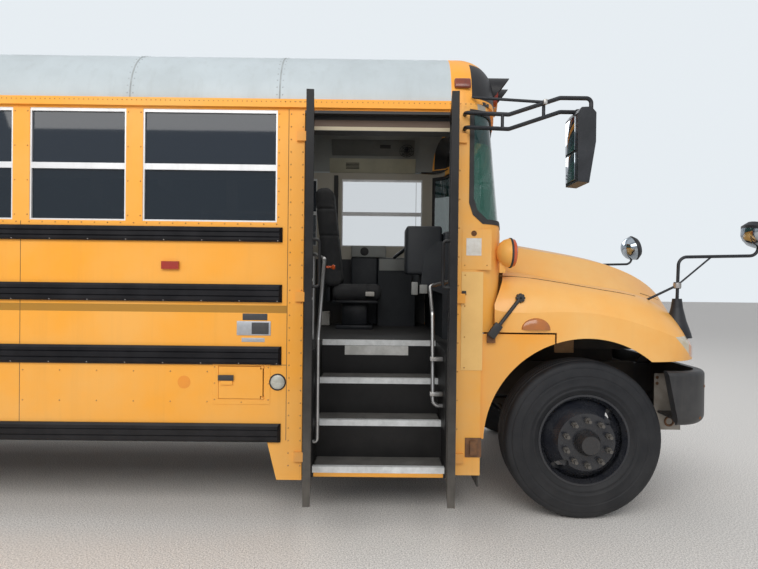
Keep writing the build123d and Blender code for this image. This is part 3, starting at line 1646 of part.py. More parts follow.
parts["front_tyre_right"] = tyre(front_axle_x, -front_track_half)
parts["front_wheel_left"] = front_wheel().rotate(front_axle_line, left_wheel_turn)
parts["front_wheel_right"] = mirrored(front_wheel())
parts["rear_tyres_left"] = rear_tyres()
parts["rear_tyres_right"] = mirrored(rear_tyres())
parts["rear_wheels_left"] = rear_wheels()
parts["rear_wheels_right"] = mirrored(rear_wheels())
parts["steering_wheel"] = steering_wheel()
parts["dashboard"] = dashboard() + column()
parts["driver_seat"] = driver_seat()
parts["passenger_seats"] = passenger_seats()
parts["seat_frames"] = seat_frames()
parts["grab_rails"] = grab_rails()
parts["side_mirrors"] = both_sides(side_mirror())
right_mirror = bonnet_mirror(70) - bonnet_form(0)
left_mirror = mirrored(bonnet_mirror(15) - bonnet_form(0))
parts["bonnet_mirrors"] = Compound(children=[*right_mirror.solids(), *left_mirror.solids()])
parts["red_lamps"] = red_lamps()
parts["amber_lamps"] = amber_lamps()
parts["stop_arm"] = stop_arm()
parts["crossing_arm"] = crossing_arm()

os.makedirs("parts", exist_ok=True)
for name, shape in parts.items():
    export_step(shape, f"parts/{name}.step")
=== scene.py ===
import json
import math

import bmesh
import bpy
from mathutils import Matrix, Vector


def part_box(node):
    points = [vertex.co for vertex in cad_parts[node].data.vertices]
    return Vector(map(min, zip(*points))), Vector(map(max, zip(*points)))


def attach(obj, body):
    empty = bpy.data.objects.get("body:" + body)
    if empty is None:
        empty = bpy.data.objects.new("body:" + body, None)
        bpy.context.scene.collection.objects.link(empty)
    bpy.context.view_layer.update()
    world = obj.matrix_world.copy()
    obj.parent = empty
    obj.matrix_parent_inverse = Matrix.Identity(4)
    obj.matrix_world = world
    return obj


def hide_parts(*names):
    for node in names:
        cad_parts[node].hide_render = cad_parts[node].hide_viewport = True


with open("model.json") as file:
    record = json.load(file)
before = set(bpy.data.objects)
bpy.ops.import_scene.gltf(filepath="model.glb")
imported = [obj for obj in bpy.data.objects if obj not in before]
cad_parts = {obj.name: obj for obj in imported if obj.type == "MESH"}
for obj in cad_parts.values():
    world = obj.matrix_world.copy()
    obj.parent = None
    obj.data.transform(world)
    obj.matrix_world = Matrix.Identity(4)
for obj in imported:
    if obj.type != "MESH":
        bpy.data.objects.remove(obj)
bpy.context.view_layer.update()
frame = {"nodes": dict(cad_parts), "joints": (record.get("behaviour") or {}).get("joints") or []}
nodes = frame["nodes"]
axle_x = frame["joints"][0]["pos_m"][0]

# Camera and daylight: the bus is seen from the kerb beside its entrance, at a standing
# person's eye height, under an even bright sky, with two soft fills below its own roof.
scene = bpy.context.scene
scene.view_settings.view_transform = "Standard"

camera_data = bpy.data.cameras.new("camera")
camera_data.sensor_width = 36.0
camera_data.lens = 26.83
camera_data.clip_end = 200.0
camera = bpy.data.objects.new("camera", camera_data)
scene.collection.objects.link(camera)
scene.camera = camera
camera_place = (axle_x - 1.36, -4.79, 1.534)
yaw, pitch, roll = (math.radians(angle) for angle in (0.3, -0.35, 0.65))
forward = Vector((math.sin(yaw) * math.cos(pitch), math.cos(yaw) * math.cos(pitch), math.sin(pitch)))
level_right = forward.cross(Vector((0, 0, 1))).normalized()
level_up = level_right.cross(forward)
right = level_right * math.cos(roll) + level_up * math.sin(roll)
up = level_up * math.cos(roll) - level_right * math.sin(roll)
aim = Matrix((right, up, -forward)).transposed().to_4x4()
camera.matrix_world = Matrix.Translation(camera_place) @ aim


def put(tree, kind, values, **settings):
    """A shader node with its settings; each socket gets its value, or a link from an output."""
    node = tree.nodes.new("ShaderNode" + kind)
    for label, value in settings.items():
        setattr(node, label, value)
    for socket, value in values.items():
        if hasattr(value, "links"):
            tree.links.new(value, node.inputs[socket])
        else:
            node.inputs[socket].default_value = value
    return node


world = bpy.data.worlds.new("daylight")
scene.world = world
world.use_nodes = True
sky = world.node_tree.nodes["Background"]
sky.inputs["Color"].default_value = (0.93, 0.96, 1.0, 1)
sky.inputs["Strength"].default_value = 0.6
seen_sky = put(world.node_tree, "Background", {"Color": (0.80, 0.85, 0.89, 1)})
rays = put(world.node_tree, "LightPath", {}).outputs
seen_rays = {0: rays["Is Camera Ray"], 1: rays["Is Transmission Ray"]}
seen = put(world.node_tree, "Math", seen_rays, operation="MAXIMUM").outputs[0]
either_sky = put(world.node_tree, "MixShader", {0: seen, 1: sky.outputs[0], 2: seen_sky.outputs[0]})
world.node_tree.links.new(either_sky.outputs[0], world.node_tree.nodes["World Output"].inputs["Surface"])


def soft_lamp(name, place, look_at, size, watts, colour):
    lamp_data = bpy.data.lights.new(name, "AREA")
    lamp_data.shape = "RECTANGLE"
    lamp_data.size, lamp_data.size_y = size
    lamp_data.energy = watts
    lamp_data.color = colour
    lamp = bpy.data.objects.new(name, lamp_data)
    scene.collection.objects.link(lamp)
    lamp_aim = (Vector(look_at) - Vector(place)).to_track_quat("-Z", "Y")
    lamp.matrix_world = Matrix.Translation(place) @ lamp_aim.to_matrix().to_4x4()
    lamp.visible_camera = False


warm_white = (1, 0.99, 0.96)
entry_x, saloon_x = axle_x - 1.35, -1.2
soft_lamp("kerb_light", (1.0, -9.0, 7.0), (1.0, 0, 1.6), (12, 5), 700, (1, 0.98, 0.95))
soft_lamp("far_light", (-1.0, 9.5, 7.0), (-1.0, 0, 1.6), (12, 5), 560, (0.95, 0.98, 1))
soft_lamp("high_light", (0, 0, 10.0), (0, 0, 0), (14, 8), 90, (1, 1, 1))
soft_lamp("entry_fill", (entry_x, -0.1, 2.98), (entry_x, -0.1, 0), (1.0, 1.1), 6, warm_white)
soft_lamp("saloon_fill", (saloon_x, 0, 3.03), (saloon_x, 0, 0), (7.0, 0.8), 22, warm_white)

# Yard: old pale asphalt with its small stones showing, laid flat and open to the sky. Like
# the bus's own finishes it fades in soft patches; on the bus, rain streaks, road dust that
# thickens towards the ground and a fine grain come over the paint.
FLOAT, COLOUR, VECTOR = "NodeSocketFloat", "NodeSocketColor", "NodeSocketVector"
GREY = (0.8, 0.8, 0.8, 1)


def new_group(name, inputs, outputs):
    """An empty effect, what is given to it, and what it has to put out."""
    group = bpy.data.node_groups.new(name, "ShaderNodeTree")
    for kind, label, value in inputs:
        group.interface.new_socket(label, in_out="INPUT", socket_type=kind).default_value = value
    for kind, label in outputs:
        group.interface.new_socket(label, in_out="OUTPUT", socket_type=kind)
    return group, group.nodes.new("NodeGroupInput").outputs, group.nodes.new("NodeGroupOutput").inputs


def place_on_bus(tree):
    return put(tree, "TexCoord", {}).outputs["Object"]


def noise_mask(tree, place, scale, low, high, detail=5.0):
    """A noise whose values between low and high are spread over 0 to 1."""
    noise = put(tree, "TexNoise", {"Vector": place, "Scale": scale, "Detail": detail, "Roughness": 0.62})
    spread = {"Value": noise.outputs["Fac"], "From Min": low, "From Max": high}
    return put(tree, "MapRange", spread).outputs[0]


def reckoned(tree, operation, first, second):
    return put(tree, "Math", {0: first, 1: second}, operation=operation).outputs[0]


def blended(tree, amount, first, second):
    colours = {"Factor": amount, 6: first, 7: second}
    return put(tree, "Mix", colours, data_type="RGBA").outputs[2]


def build_fading():
    group, given, out = new_group(
        "fading",
        [
            (COLOUR, "Colour", GREY),
            (COLOUR, "Faded", GREY),
            (FLOAT, "Patch size", 1.5),
            (FLOAT, "Amount", 0.5),
        ],
        [(COLOUR, "Colour"), (FLOAT, "Mask")],
    )
    patches = noise_mask(group, place_on_bus(group), given["Patch size"], 0.38, 0.66)
    amount = reckoned(group, "MULTIPLY", patches, given["Amount"])
    group.links.new(blended(group, amount, given["Colour"], given["Faded"]), out["Colour"])
    group.links.new(amount, out["Mask"])
    return group


def build_streaks():
    group, given, out = new_group(
        "rain_streaks",
        [(COLOUR, "Colour", GREY), (COLOUR, "Grime", (0.2, 0.15, 0.1, 1)), (FLOAT, "Amount", 0.2)],
        [(COLOUR, "Colour")],
    )
    drawn_down = put(group, "Mapping", {"Vector": place_on_bus(group), "Scale": (16, 16, 0.7)})
    streaks = noise_mask(group, drawn_down.outputs[0], 1.0, 0.52, 0.8, 4.0)
    amount = reckoned(group, "MULTIPLY", streaks, given["Amount"])
    group.links.new(blended(group, amount, given["Colour"], given["Grime"]), out["Colour"])
    return group


def build_dust():
    group, given, out = new_group(
        "road_dust",
        [
            (COLOUR, "Colour", GREY),
            (COLOUR, "Dust", (0.32, 0.29, 0.25, 1)),
            (FLOAT, "Low", 0.3),
            (FLOAT, "High", 1.2),
            (FLOAT, "Amount", 0.5),
        ],
        [(COLOUR, "Colour"), (FLOAT, "Mask")],
    )
    place = place_on_bus(group)
    height = put(group, "SeparateXYZ", {0: place}).outputs["Z"]
    span = {"From Min": given["Low"], "From Max": given["High"], "To Min": 1.0, "To Max": 0.0}
    lowness = put(group, "MapRange", {"Value": height, **span}).outputs[0]
    specks = noise_mask(group, place, 9.0, 0.0, 1.0, 8.0)
    amount = reckoned(group, "MULTIPLY", lowness, specks)
    amount = reckoned(group, "MULTIPLY", amount, given["Amount"])
    amount = reckoned(group, "MINIMUM", amount, 1.0)
    group.links.new(blended(group, amount, given["Colour"], given["Dust"]), out["Colour"])
    group.links.new(amount, out["Mask"])
    return group


def build_grain():
    group, given, out = new_group(
        "fine_grain",
        [(FLOAT, "Scale", 200.0), (FLOAT, "Depth", 0.0004), (FLOAT, "Strength", 0.3)],
        [(VECTOR, "Normal")],
    )
    noise = put(group, "TexNoise", {"Vector": place_on_bus(group), "Scale": given["Scale"], "Detail": 3})
    grains = {"Height": noise.outputs["Fac"], "Distance": given["Depth"], "Strength": given["Strength"]}
    group.links.new(put(group, "Bump", grains).outputs[0], out["Normal"])
    return group


def build_painted_box():
    """Another colour wherever the surface lies inside a box, for bands and masked areas."""
    group, given, out = new_group(
        "painted_box",
        [
            (COLOUR, "Colour", GREY),
            (COLOUR, "Other", GREY),
            (VECTOR, "Low", (0, 0, 0)),
            (VECTOR, "High", (1, 1, 1)),
        ],
        [(COLOUR, "Colour")],
    )
    place = place_on_bus(group)
    above = put(group, "VectorMath", {0: place, 1: given["Low"]}, operation="SUBTRACT")
    below = put(group, "VectorMath", {0: given["High"], 1: place}, operation="SUBTRACT")
    least = put(group, "VectorMath", {0: above.outputs[0], 1: below.outputs[0]}, operation="MINIMUM")
    along = put(group, "SeparateXYZ", {0: least.outputs[0]}).outputs
    inside = reckoned(group, "MINIMUM", along["X"], along["Y"])
    inside = reckoned(group, "MINIMUM", inside, along["Z"])
    inside = reckoned(group, "GREATER_THAN", inside, 0.0)
    group.links.new(blended(group, inside, given["Colour"], given["Other"]), out["Colour"])
    return group


fading = build_fading()
rain_streaks = build_streaks()
road_dust = build_dust()
fine_grain = build_grain()
painted_box = build_painted_box()
worn_rougher = 0.15
dusty_rougher = 0.35


def finish_of(
    name,
    colour,
    faded,
    roughness,
    metallic=0.0,
    patch=1.5,
    fade=0.5,
    streaks=0.0,
    grime=(0.16, 0.11, 0.07),
    dust=0.5,
    dust_colour=(0.32, 0.29, 0.25),
    dust_low=0.2,
    dust_high=1.3,
    grain=250.0,
    depth=0.0004,
    grain_strength=0.25,
    coat=0.0,
    shine=0.5,
    boxes=(),
):
    """A finish made of the shared effects; boxes are (colour, low corner, high corner)."""
    material = bpy.data.materials.new(name)
    material.use_nodes = True
    tree = material.node_tree
    surface = tree.nodes["Principled BSDF"].inputs
    surface["Metallic"].default_value = metallic
    surface["Coat Weight"].default_value = coat
    surface["Coat Roughness"].default_value = 0.12
    surface["Specular IOR Level"].default_value = shine

    paint = {"Colour": (*colour, 1), "Faded": (*faded, 1), "Patch size": patch, "Amount": fade}
    painted = put(tree, "Group", paint, node_tree=fading)
    shade = painted.outputs["Colour"]
    for other, low, high in boxes:
        band = {"Colour": shade, "Other": (*other, 1), "Low": low, "High": high}
        shade = put(tree, "Group", band, node_tree=painted_box).outputs["Colour"]
    if streaks:
        rain = {"Colour": shade, "Grime": (*grime, 1), "Amount": streaks}
        shade = put(tree, "Group", rain, node_tree=rain_streaks).outputs["Colour"]
    road = {"Colour": shade, "Dust": (*dust_colour, 1), "Low": dust_low, "High": dust_high, "Amount": dust}
    dusty = put(tree, "Group", road, node_tree=road_dust)
    tree.links.new(dusty.outputs["Colour"], surface["Base Color"])
    worn = reckoned(tree, "MULTIPLY", painted.outputs["Mask"], worn_rougher)
    worn = reckoned(tree, "ADD", worn, dusty.outputs["Mask"])
    roughest = min(1.0, roughness + worn_rougher + dusty_rougher)
    rough = put(tree, "MapRange", {"Value": worn, "To Min": roughness, "To Max": roughest})
    tree.links.new(rough.outputs[0], surface["Roughness"])
    stipple = {"Scale": grain, "Depth": depth, "Strength": grain_strength}
    tree.links.new(put(tree, "Group", stipple, node_tree=fine_grain).outputs["Normal"], surface["Normal"])
    return material


yard_mesh = bpy.data.meshes.new("yard")
slab = bmesh.new()
bmesh.ops.create_grid(slab, x_segments=1, y_segments=1, size=45.0)
slab.to_mesh(yard_mesh)
slab.free()
yard = bpy.data.objects.new("yard", yard_mesh)
scene.collection.objects.link(yard)
yard_asphalt = finish_of(
    "yard_asphalt", (0.92, 0.89, 0.85), (0.42, 0.40, 0.38), 0.9, patch=110.0, fade=1.0, dust=0.0,
    grain=140.0, depth=0.004, grain_strength=0.8,
)
yard.data.materials.append(yard_asphalt)


# Side walls: pressed steel panels in faded bus yellow, lapped at upright seams and riveted
# to the body's bows, with real rivet heads. A dark stripe runs under the second rail, beige
# steel lines the inside, and a rubber strip seals the entrance on either side. Near the
# driver, the inside of the left wall below the windows is painted near-black as shade.
def wear(material, *names):
    """Gives CAD nodes their finish."""
    for name in names:
        nodes[name].data.materials.clear()
        nodes[name].data.materials.append(material)


def piece(name, shape, material, body="chassis", sharp=35.0):
    """Makes a finished bmesh an object on its body, smooth but for its sharp edges."""
    bmesh.ops.recalc_face_normals(shape, faces=shape.faces)
    mesh = bpy.data.meshes.new(name)
    shape.to_mesh(mesh)
    shape.free()
    mesh.shade_smooth()
    mesh.set_sharp_from_angle(angle=math.radians(sharp))
    mesh.materials.append(material)
    made = bpy.data.objects.new(name, mesh)
    scene.collection.objects.link(made)
    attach(made, body)
    return made


def add_plate(shape, low, high, edge=0.0, segments=2):
    """A flat plate between two corners with its edges rounded over."""
    low, high = Vector(low), Vector(high)
    made = bmesh.ops.create_cube(shape, size=1.0)["verts"]
    bmesh.ops.scale(shape, vec=[abs(length) for length in high - low], verts=made)
    bmesh.ops.translate(shape, vec=(low + high) / 2, verts=made)
    if edge:
        rounded = bmesh.ops.bevel(
            shape,
            geom=list({e for v in made for e in v.link_edges}),
            offset=edge,
            offset_type="OFFSET",
            affect="EDGES",
            segments=segments,
            profile=0.5,
            material=-1,
        )
        made = list({v for face in rounded["faces"] for v in face.verts})
    return made


def add_plates(shape, rows):
    """Plates from rows of (x0, x1, y0, y1, z0, z1, edge, segments), X from the front axle."""
    for x0, x1, y0, y1, z0, z1, *edging in rows:
        add_plate(shape, (axle_x + x0, y0, z0), (axle_x + x1, y1, z1), *edging)


def plate_piece(name, material, rows, body="chassis"):
    shape = bmesh.new()
    add_plates(shape, rows)
    return piece(name, shape, material, body)


def facing(direction, place):
    """The matrix that puts a piece made about Z at a place, turned to a direction."""
    turned = Vector(direction).to_track_quat("Z", "Y").to_matrix().to_4x4()
    return Matrix.Translation(place) @ turned


def add_rivets(shape, places, outward, radius):
    """Six-sided button heads whose flat sides lie on the sheet."""
    for place in places:
        bmesh.ops.create_cone(
            shape,
            cap_ends=True,
            segments=6,
            radius1=radius,
            radius2=radius * 0.45,
            depth=radius * 0.55,
            matrix=facing(outward, Vector(place) + Vector(outward) * radius * 0.2),
        )


def steps(start, stop, pitch):
    """Evenly spaced values from start towards stop."""
    count = max(1, int(abs(stop - start) / pitch + 0.5))
    return [start + (stop - start) * i / count for i in range(count + 1)]


half_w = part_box("cowl")[1].y
inner_half = half_w - 0.03
wall_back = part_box("right_wall")[0].x
door_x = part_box("right_wall")[1].x
front_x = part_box("left_wall")[1].x
rear_axle_x = (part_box("rear_tyres_right")[0].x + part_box("rear_tyres_right")[1].x) / 2
window_pitch = 0.711
wide_front = axle_x - 1.991
wide_rear = wide_front - 0.847
post_xs = [wide_rear - 0.053 - window_pitch * i for i in range(11)]
rivet_r = 0.0062
drip_rivet_r = 0.005
drip_out, drip_z = 0.022, 2.652
stripe = (0.42, 0.20, 0.015)
stripe_low, stripe_high = 1.324, 1.372
lining_beige = (0.42, 0.39, 0.33)
# near-black painted over inside surfaces as their shade: the left wall below the windows near the driver, and
# the front cap's inside
painted_interior_shade = (0.022, 0.024, 0.028)
bus_yellow = finish_of(
    "bus_yellow", (0.94, 0.385, 0.022), (0.90, 0.445, 0.09), 0.46, patch=1.1, fade=0.8, streaks=0.08,
    dust=0.4, dust_colour=(0.60, 0.40, 0.18),
    boxes=[
        (stripe, (wall_back, -half_w - 0.01, stripe_low), (door_x - 0.1, 1 - half_w, stripe_high)),
        (stripe, (wall_back, half_w - 1, stripe_low), (front_x, half_w + 0.01, stripe_high)),
        (lining_beige, (wall_back, -inner_half, 0.9), (front_x, inner_half, 3.0)),
        # painted shade: the inside of the left wall below the windows, near the driver, in near-black
        (painted_interior_shade, (axle_x - 2.0, 0, 0.9), (front_x, inner_half, 1.76)),
    ],
)
rivet_yellow = finish_of("rivet_yellow", (0.62, 0.28, 0.05), (0.40, 0.19, 0.06), 0.5, patch=30.0, fade=0.9)
# dark brown for the walls' lapped seams, and as painted shade along the bonnet's crease
seam_brown = finish_of("seam_brown", (0.22, 0.11, 0.035), (0.12, 0.07, 0.03), 0.8, patch=12.0, fade=0.8)
dark_rubber = finish_of("dark_rubber", (0.022, 0.022, 0.024), (0.05, 0.05, 0.05), 0.7, patch=12.0, dust=0.3)
wear(bus_yellow, "left_wall", "right_wall", "fuel_door")

wall_rivets = bmesh.new()
wall_seams = bmesh.new()
for side in (-1, 1):
    y = side * half_w
    out = (0, side, 0)
    front = door_x if side < 0 else front_x
    heads = []
    for x in post_xs:
        for dx in (-0.040, 0.040):
            if x + dx > wall_back + 0.02:
                heads += [(x + dx, y, z) for z in steps(1.93, 2.58, 0.215)]
    heads += [(x, y, 1.885) for x in steps(wall_back + 0.05, wide_front, 0.082)]
    for z in (0.95, 0.76):
        heads += [(x, y, z) for x in steps(-1.1, axle_x - 2.42, 0.236)]
        heads += [(x, y, z) for x in steps(wall_back + 0.1, -2.65, 0.236)]
    if side < 0:
        for x in (front - 0.085, front - 0.010):
            heads += [(x, y, z) for z in steps(0.36, 2.58, 0.079)]
        heads += [(front - 0.160, y, z) for z in steps(1.93, 2.58, 0.085)]
    add_rivets(wall_rivets, heads, out, rivet_r)
    drip_y = side * (half_w + drip_out)
    drip_heads = [(x, drip_y, drip_z) for x in steps(wall_back + 0.02, front, 0.030)]
    add_rivets(wall_rivets, drip_heads, out, drip_rivet_r)
    seam_y = y + side * 0.0006
    for x in [front - 0.100] + post_xs[1::3]:
        seam_foot = 0.52 if abs(x - rear_axle_x) > 0.61 else 1.13
        seam_head = 1.89 if x < front - 0.2 else 2.61
        add_plate(wall_seams, (x - 0.002, y, seam_foot), (x + 0.002, seam_y, seam_head))
    add_plate(wall_seams, (wall_back, y, 0.994), (front - 0.1, seam_y, 0.998))
seal_y = -half_w + 0.052
seal_rows = [
    (x - 0.010, x + 0.010, seal_y, seal_y + 0.028, 0.330, 2.490, 0.004)
    for x in (-1.812, -0.853)
]
plate_piece("door_seals", dark_rubber, seal_rows)
piece("wall_rivets", wall_rivets, rivet_yellow)
piece("wall_seams", wall_seams, seam_brown)

# Door header: a boxed steel beam over the entrance, black and brown in its recess with a
# cream strip and a grey soffit, where the door gear runs.
header_finish = finish_of(
    "header_finish", (0.016, 0.016, 0.017), (0.03, 0.03, 0.03), 0.5, patch=5.0, fade=0.7, dust=0.0,
    boxes=[
        ((0.11, 0.065, 0.040), (0, -3, 2.524), (9, 3, 2.566)),
        ((0.50, 0.43, 0.30), (0, -3, 2.501), (9, 3, 2.524)),
        ((0.06, 0.06, 0.06), (0, -3, 2.0), (9, 3, 2.501)),
        ((0.95, 0.39, 0.03), (0, -3, 2.606), (9, 0.008 - half_w, 3.0)),
    ],
)
wear(header_finish, "door_header")


# Reflex lamp on the right wall: a round pale lens, moulded and pressed into a dark rubber
# ring behind the door.
def add_turned(shape, profile, place, direction, count=32):
    """A turned piece: (radius, height) points spun about an axis through a place."""
    before = set(shape.verts)
    line = [shape.verts.new((r, 0, h)) for r, h in profile]
    edges = [shape.edges.new(pair) for pair in zip(line, line[1:])]
    bmesh.ops.spin(
        shape,
        geom=line + edges,
        cent=(0, 0, 0),
        axis=(0, 0, 1),
        angle=math.tau,
        steps=count,
        use_merge=True,
    )
    made = [v for v in shape.verts if v not in before]
    bmesh.ops.remove_doubles(shape, verts=made, dist=1e-6)
    made = [v for v in made if v.is_valid]
    bmesh.ops.transform(shape, matrix=facing(direction, place), verts=made)
    return made


kerb_side = (0, -1, 0)
lamp_centre = (axle_x - 1.976, -half_w, 0.888)
ring_r = 0.052
ring_line = [(ring_r - 0.008, 0.002), (ring_r - 0.004, 0.010), (ring_r, 0.006), (ring_r + 0.002, 0)]
ring = bmesh.new()
add_turned(ring, ring_line, lamp_centre, kerb_side)
piece("reflex_ring", ring, dark_rubber)
pale_lens = finish_of(
    "pale_lens", (0.55, 0.56, 0.50), (0.36, 0.35, 0.30), 0.15, patch=24.0, fade=0.9, coat=0.6, dust=0.2
)
lens = bmesh.new()
dome_line = [(0, 0.010), (0.020, 0.009), (0.036, 0.007), (ring_r - 0.007, 0.003)]
add_turned(lens, dome_line, lamp_centre, kerb_side)
piece("reflex_lens", lens, pale_lens)

# Fuel door: a hinged steel flap in a riveted frame, with a dark sunk latch, and beside it a
# round patch where the wall was touched up in newer, more orange paint.
patch_paint = finish_of("patch_paint", (0.86, 0.27, 0.004), (0.88, 0.40, 0.04), 0.35, fade=0.4, dust=0.4)
patch = bmesh.new()
add_turned(patch, [(0, 0.0007), (0.036, 0.0007), (0.041, 0)], (axle_x - 2.566, -half_w, 0.882), kerb_side, 40)
piece("paint_patch", patch, patch_paint)

frame_back, frame_front, frame_foot, frame_head = axle_x - 2.385, axle_x - 2.022, 0.745, 1.000
frame_y = -half_w - 0.0025
door_low, door_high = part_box("fuel_door")
gap = 0.004
fuel_frame = bmesh.new()
for low_x, high_x, low_z, high_z in (
    (frame_back, door_low.x - gap, door_low.z - gap, door_high.z + gap),
    (door_high.x + 0.012, frame_front, door_low.z - gap, door_high.z + gap),
    (frame_back, frame_front, door_high.z + gap, frame_head),
    (frame_back, frame_front, frame_foot, door_low.z - gap),
):
    add_plate(fuel_frame, (low_x, -half_w, low_z), (high_x, frame_y, high_z), 0.001, 1)
piece("fuel_frame", fuel_frame, bus_yellow)
frame_rivets = bmesh.new()
heads = [
    (x, frame_y, z)
    for x in (frame_back + 0.012, frame_front - 0.012)
    for z in steps(frame_foot + 0.03, frame_head - 0.02, 0.10)
]
heads.append(((frame_back + frame_front) / 2, frame_y, frame_foot + 0.014))
add_rivets(frame_rivets, heads, kerb_side, 0.006)
piece("fuel_frame_rivets", frame_rivets, rivet_yellow)
latch_row = (-2.348, -2.250, door_low.y + 0.0010, door_low.y - 0.0020, 0.897, 0.932, 0.001, 2)
plate_piece("fuel_latch", dark_rubber, [latch_row], "fuel_door")

# Plates behind the door: thin stamped aluminium, a silver one with a dark inset and a dark
# and a silver strip above and below it, all plain.
badge_silver = finish_of(
    "badge_silver", (0.50, 0.52, 0.55), (0.36, 0.37, 0.40), 0.3, metallic=0.5, patch=20.0, fade=0.6
)
badge_dark = finish_of("badge_dark", (0.035, 0.04, 0.05), (0.07, 0.065, 0.06), 0.35, patch=20.0, fade=0.6)
plate_piece(
    "badge_plates",
    badge_silver,
    [
        (-2.236, -2.022, -half_w, -half_w - 0.0040, 1.182, 1.272, 0.0018),
        (-2.205, -2.060, -half_w, -half_w - 0.0020, 1.140, 1.166, 0.0009),
    ],
)
plate_piece(
    "badge_insets",
    badge_dark,
    [
        (-2.142, -2.034, -half_w - 0.0040, -half_w - 0.0055, 1.190, 1.264, 0.0007),
        (-2.200, -2.044, -half_w, -half_w - 0.0030, 1.278, 1.320, 0.0014),
    ],
)

# Rub rails: black-painted channel rails with two pressed grooves, held by small screws
# along their lower lip; chips show bare metal.
rail_black = finish_of(
    "rail_black", (0.007, 0.007, 0.009), (0.018, 0.018, 0.021), 0.40, patch=5.0, fade=0.8, streaks=0.2,
    grime=(0.03, 0.03, 0.034), dust=0.1, dust_high=0.8, shine=0.18,
)
wear(rail_black, "rub_rails")
screw_out = 0.020
screws = bmesh.new()
for side in (-1, 1):
    front = door_x - 0.16 if side < 0 else front_x - 0.05
    for z in (1.780, 1.400, 1.008):
        heads = [(x, side * (half_w + screw_out), z) for x in steps(wall_back + 0.08, front, 0.24)]
        heads = [head for head in heads if z > 1.2 or abs(head[0] - rear_axle_x) > 0.68]
        add_rivets(screws, heads, (0, side, 0), 0.0055)
bare_steel = finish_of(
    "bare_steel", (0.42, 0.42, 0.43), (0.25, 0.24, 0.23), 0.4, metallic=0.8, patch=30.0, fade=0.8
)
piece("rail_screws", screws, bare_steel)

# Side windows: split-sash frames of bright anodised aluminium, set in the wall with a thin
# bead; the glass is factory-tinted, darker above the meeting rail, and clear at the driver.
bright_frame = finish_of(
    "bright_frame", (0.78, 0.79, 0.80), (0.60, 0.61, 0.62), 0.38, metallic=0.35, patch=4.0, streaks=0.15,
    dust=0.0,
)
wear(bright_frame, "window_frames")


def glass_of(name, tint, alpha, upper=None, upper_z=0.0, clear_box=None):
    """Tinted glass as a dark, half-clear sheet; upper is (tint, alpha) above a height, and
    clear_box the corners of a stretch of plain clear glass."""
    material = bpy.data.materials.new(name)
    material.use_nodes = True
    tree = material.node_tree
    surface = tree.nodes["Principled BSDF"].inputs
    surface["Roughness"].default_value = 0.03
    surface["Base Color"].default_value = (*tint, 1)
    surface["Alpha"].default_value = alpha
    if upper:
        height = put(tree, "SeparateXYZ", {0: place_on_bus(tree)}).outputs["Z"]
        high = reckoned(tree, "GREATER_THAN", height, upper_z)
        tree.links.new(blended(tree, high, (*tint, 1), (*upper[0], 1)), surface["Base Color"])
        share = put(tree, "MapRange", {"Value": high, "To Min": alpha, "To Max": upper[1]}).outputs[0]
        if clear_box:
            corners = {"Low": clear_box[0], "High": clear_box[1]}
            stretch = {"Colour": (1, 1, 1, 1), "Other": (0.14, 0.14, 0.14, 1), **corners}
            inside = put(tree, "Group", stretch, node_tree=painted_box).outputs["Colour"]
            kept = put(tree, "RGBToBW", {0: inside}).outputs[0]
            share = reckoned(tree, "MULTIPLY", share, kept)
        tree.links.new(share, surface["Alpha"])
    return material


side_glass = glass_of(
    "side_glass",
    (0.012, 0.020, 0.030),
    0.86,
    upper=((0.018, 0.026, 0.038), 0.95),
    upper_z=2.23,
    clear_box=((axle_x - 1.95, 0, 1.8), (axle_x, half_w, 2.7)),
)
wear(side_glass, "window_glass", "rear_door_glass")

# Rear arch flares and rear end: formed steel bolted over the wheel openings, and the back
# wall with its emergency door, all in the same yellow, with rivets along the back's edges.
arch_yellow = finish_of(
    "arch_yellow", (0.92, 0.37, 0.03), (0.86, 0.43, 0.10), 0.42, patch=1.6, fade=0.8, dust=0.7,
    dust_colour=(0.48, 0.34, 0.19), dust_high=1.2,
)
wear(arch_yellow, "rear_fenders", "rear_end", "rear_door", "body_fittings")
rear_rivets = bmesh.new()
body_back = axle_x - 10.290
rear_y = half_w - 0.05
heads = [(body_back, side * rear_y, z) for side in (-1, 1) for z in steps(0.75, 2.45, 0.17)]
heads += [(body_back, y, 2.62) for y in steps(-0.75, 0.75, 0.15)]
add_rivets(rear_rivets, heads, (-1, 0, 0), rivet_r)
piece("rear_rivets", rear_rivets, rivet_yellow)

# Roof: white-painted steel skins lapped and riveted over the roof bows, one bow at each
# window post, with two escape hatches; soot and lichen specks dull the paint.
roof_white = finish_of(
    "roof_white", (0.50, 0.56, 0.59), (0.42, 0.47, 0.49), 0.45, patch=2.2, fade=0.7, streaks=0.22,
    grime=(0.30, 0.32, 0.31), dust=0.0, grain=90.0, depth=0.0008,
)
wear(roof_white, "roof", "front_hatch", "rear_hatch")
eave_z, eave_r, eave_angle = 2.669, 0.385, 75
roof_top, crown_r = 3.163, 3.633


def roof_frame(side, angle, x):
    """The frame on the roof's skin where it faces up at an angle: Z outwards, X forward."""
    up_angle = math.radians(angle)
    on_eave = angle <= eave_angle
    r, y, z = (eave_r, half_w - eave_r, eave_z) if on_eave else (crown_r, 0, roof_top - crown_r)
    place = (x, side * (y + r * math.cos(up_angle)), z + r * math.sin(up_angle))
    return Matrix.Translation(place) @ Matrix.Rotation(-side * (math.pi / 2 - up_angle), 4, "X")


def add_on_roof(shape, skin, low, high, *edging):
    """A plate laid on the roof's skin, or hung below it, with its corners in the skin's frame."""
    made = add_plate(shape, low, high, *edging)
    bmesh.ops.transform(shape, matrix=skin, verts=made)


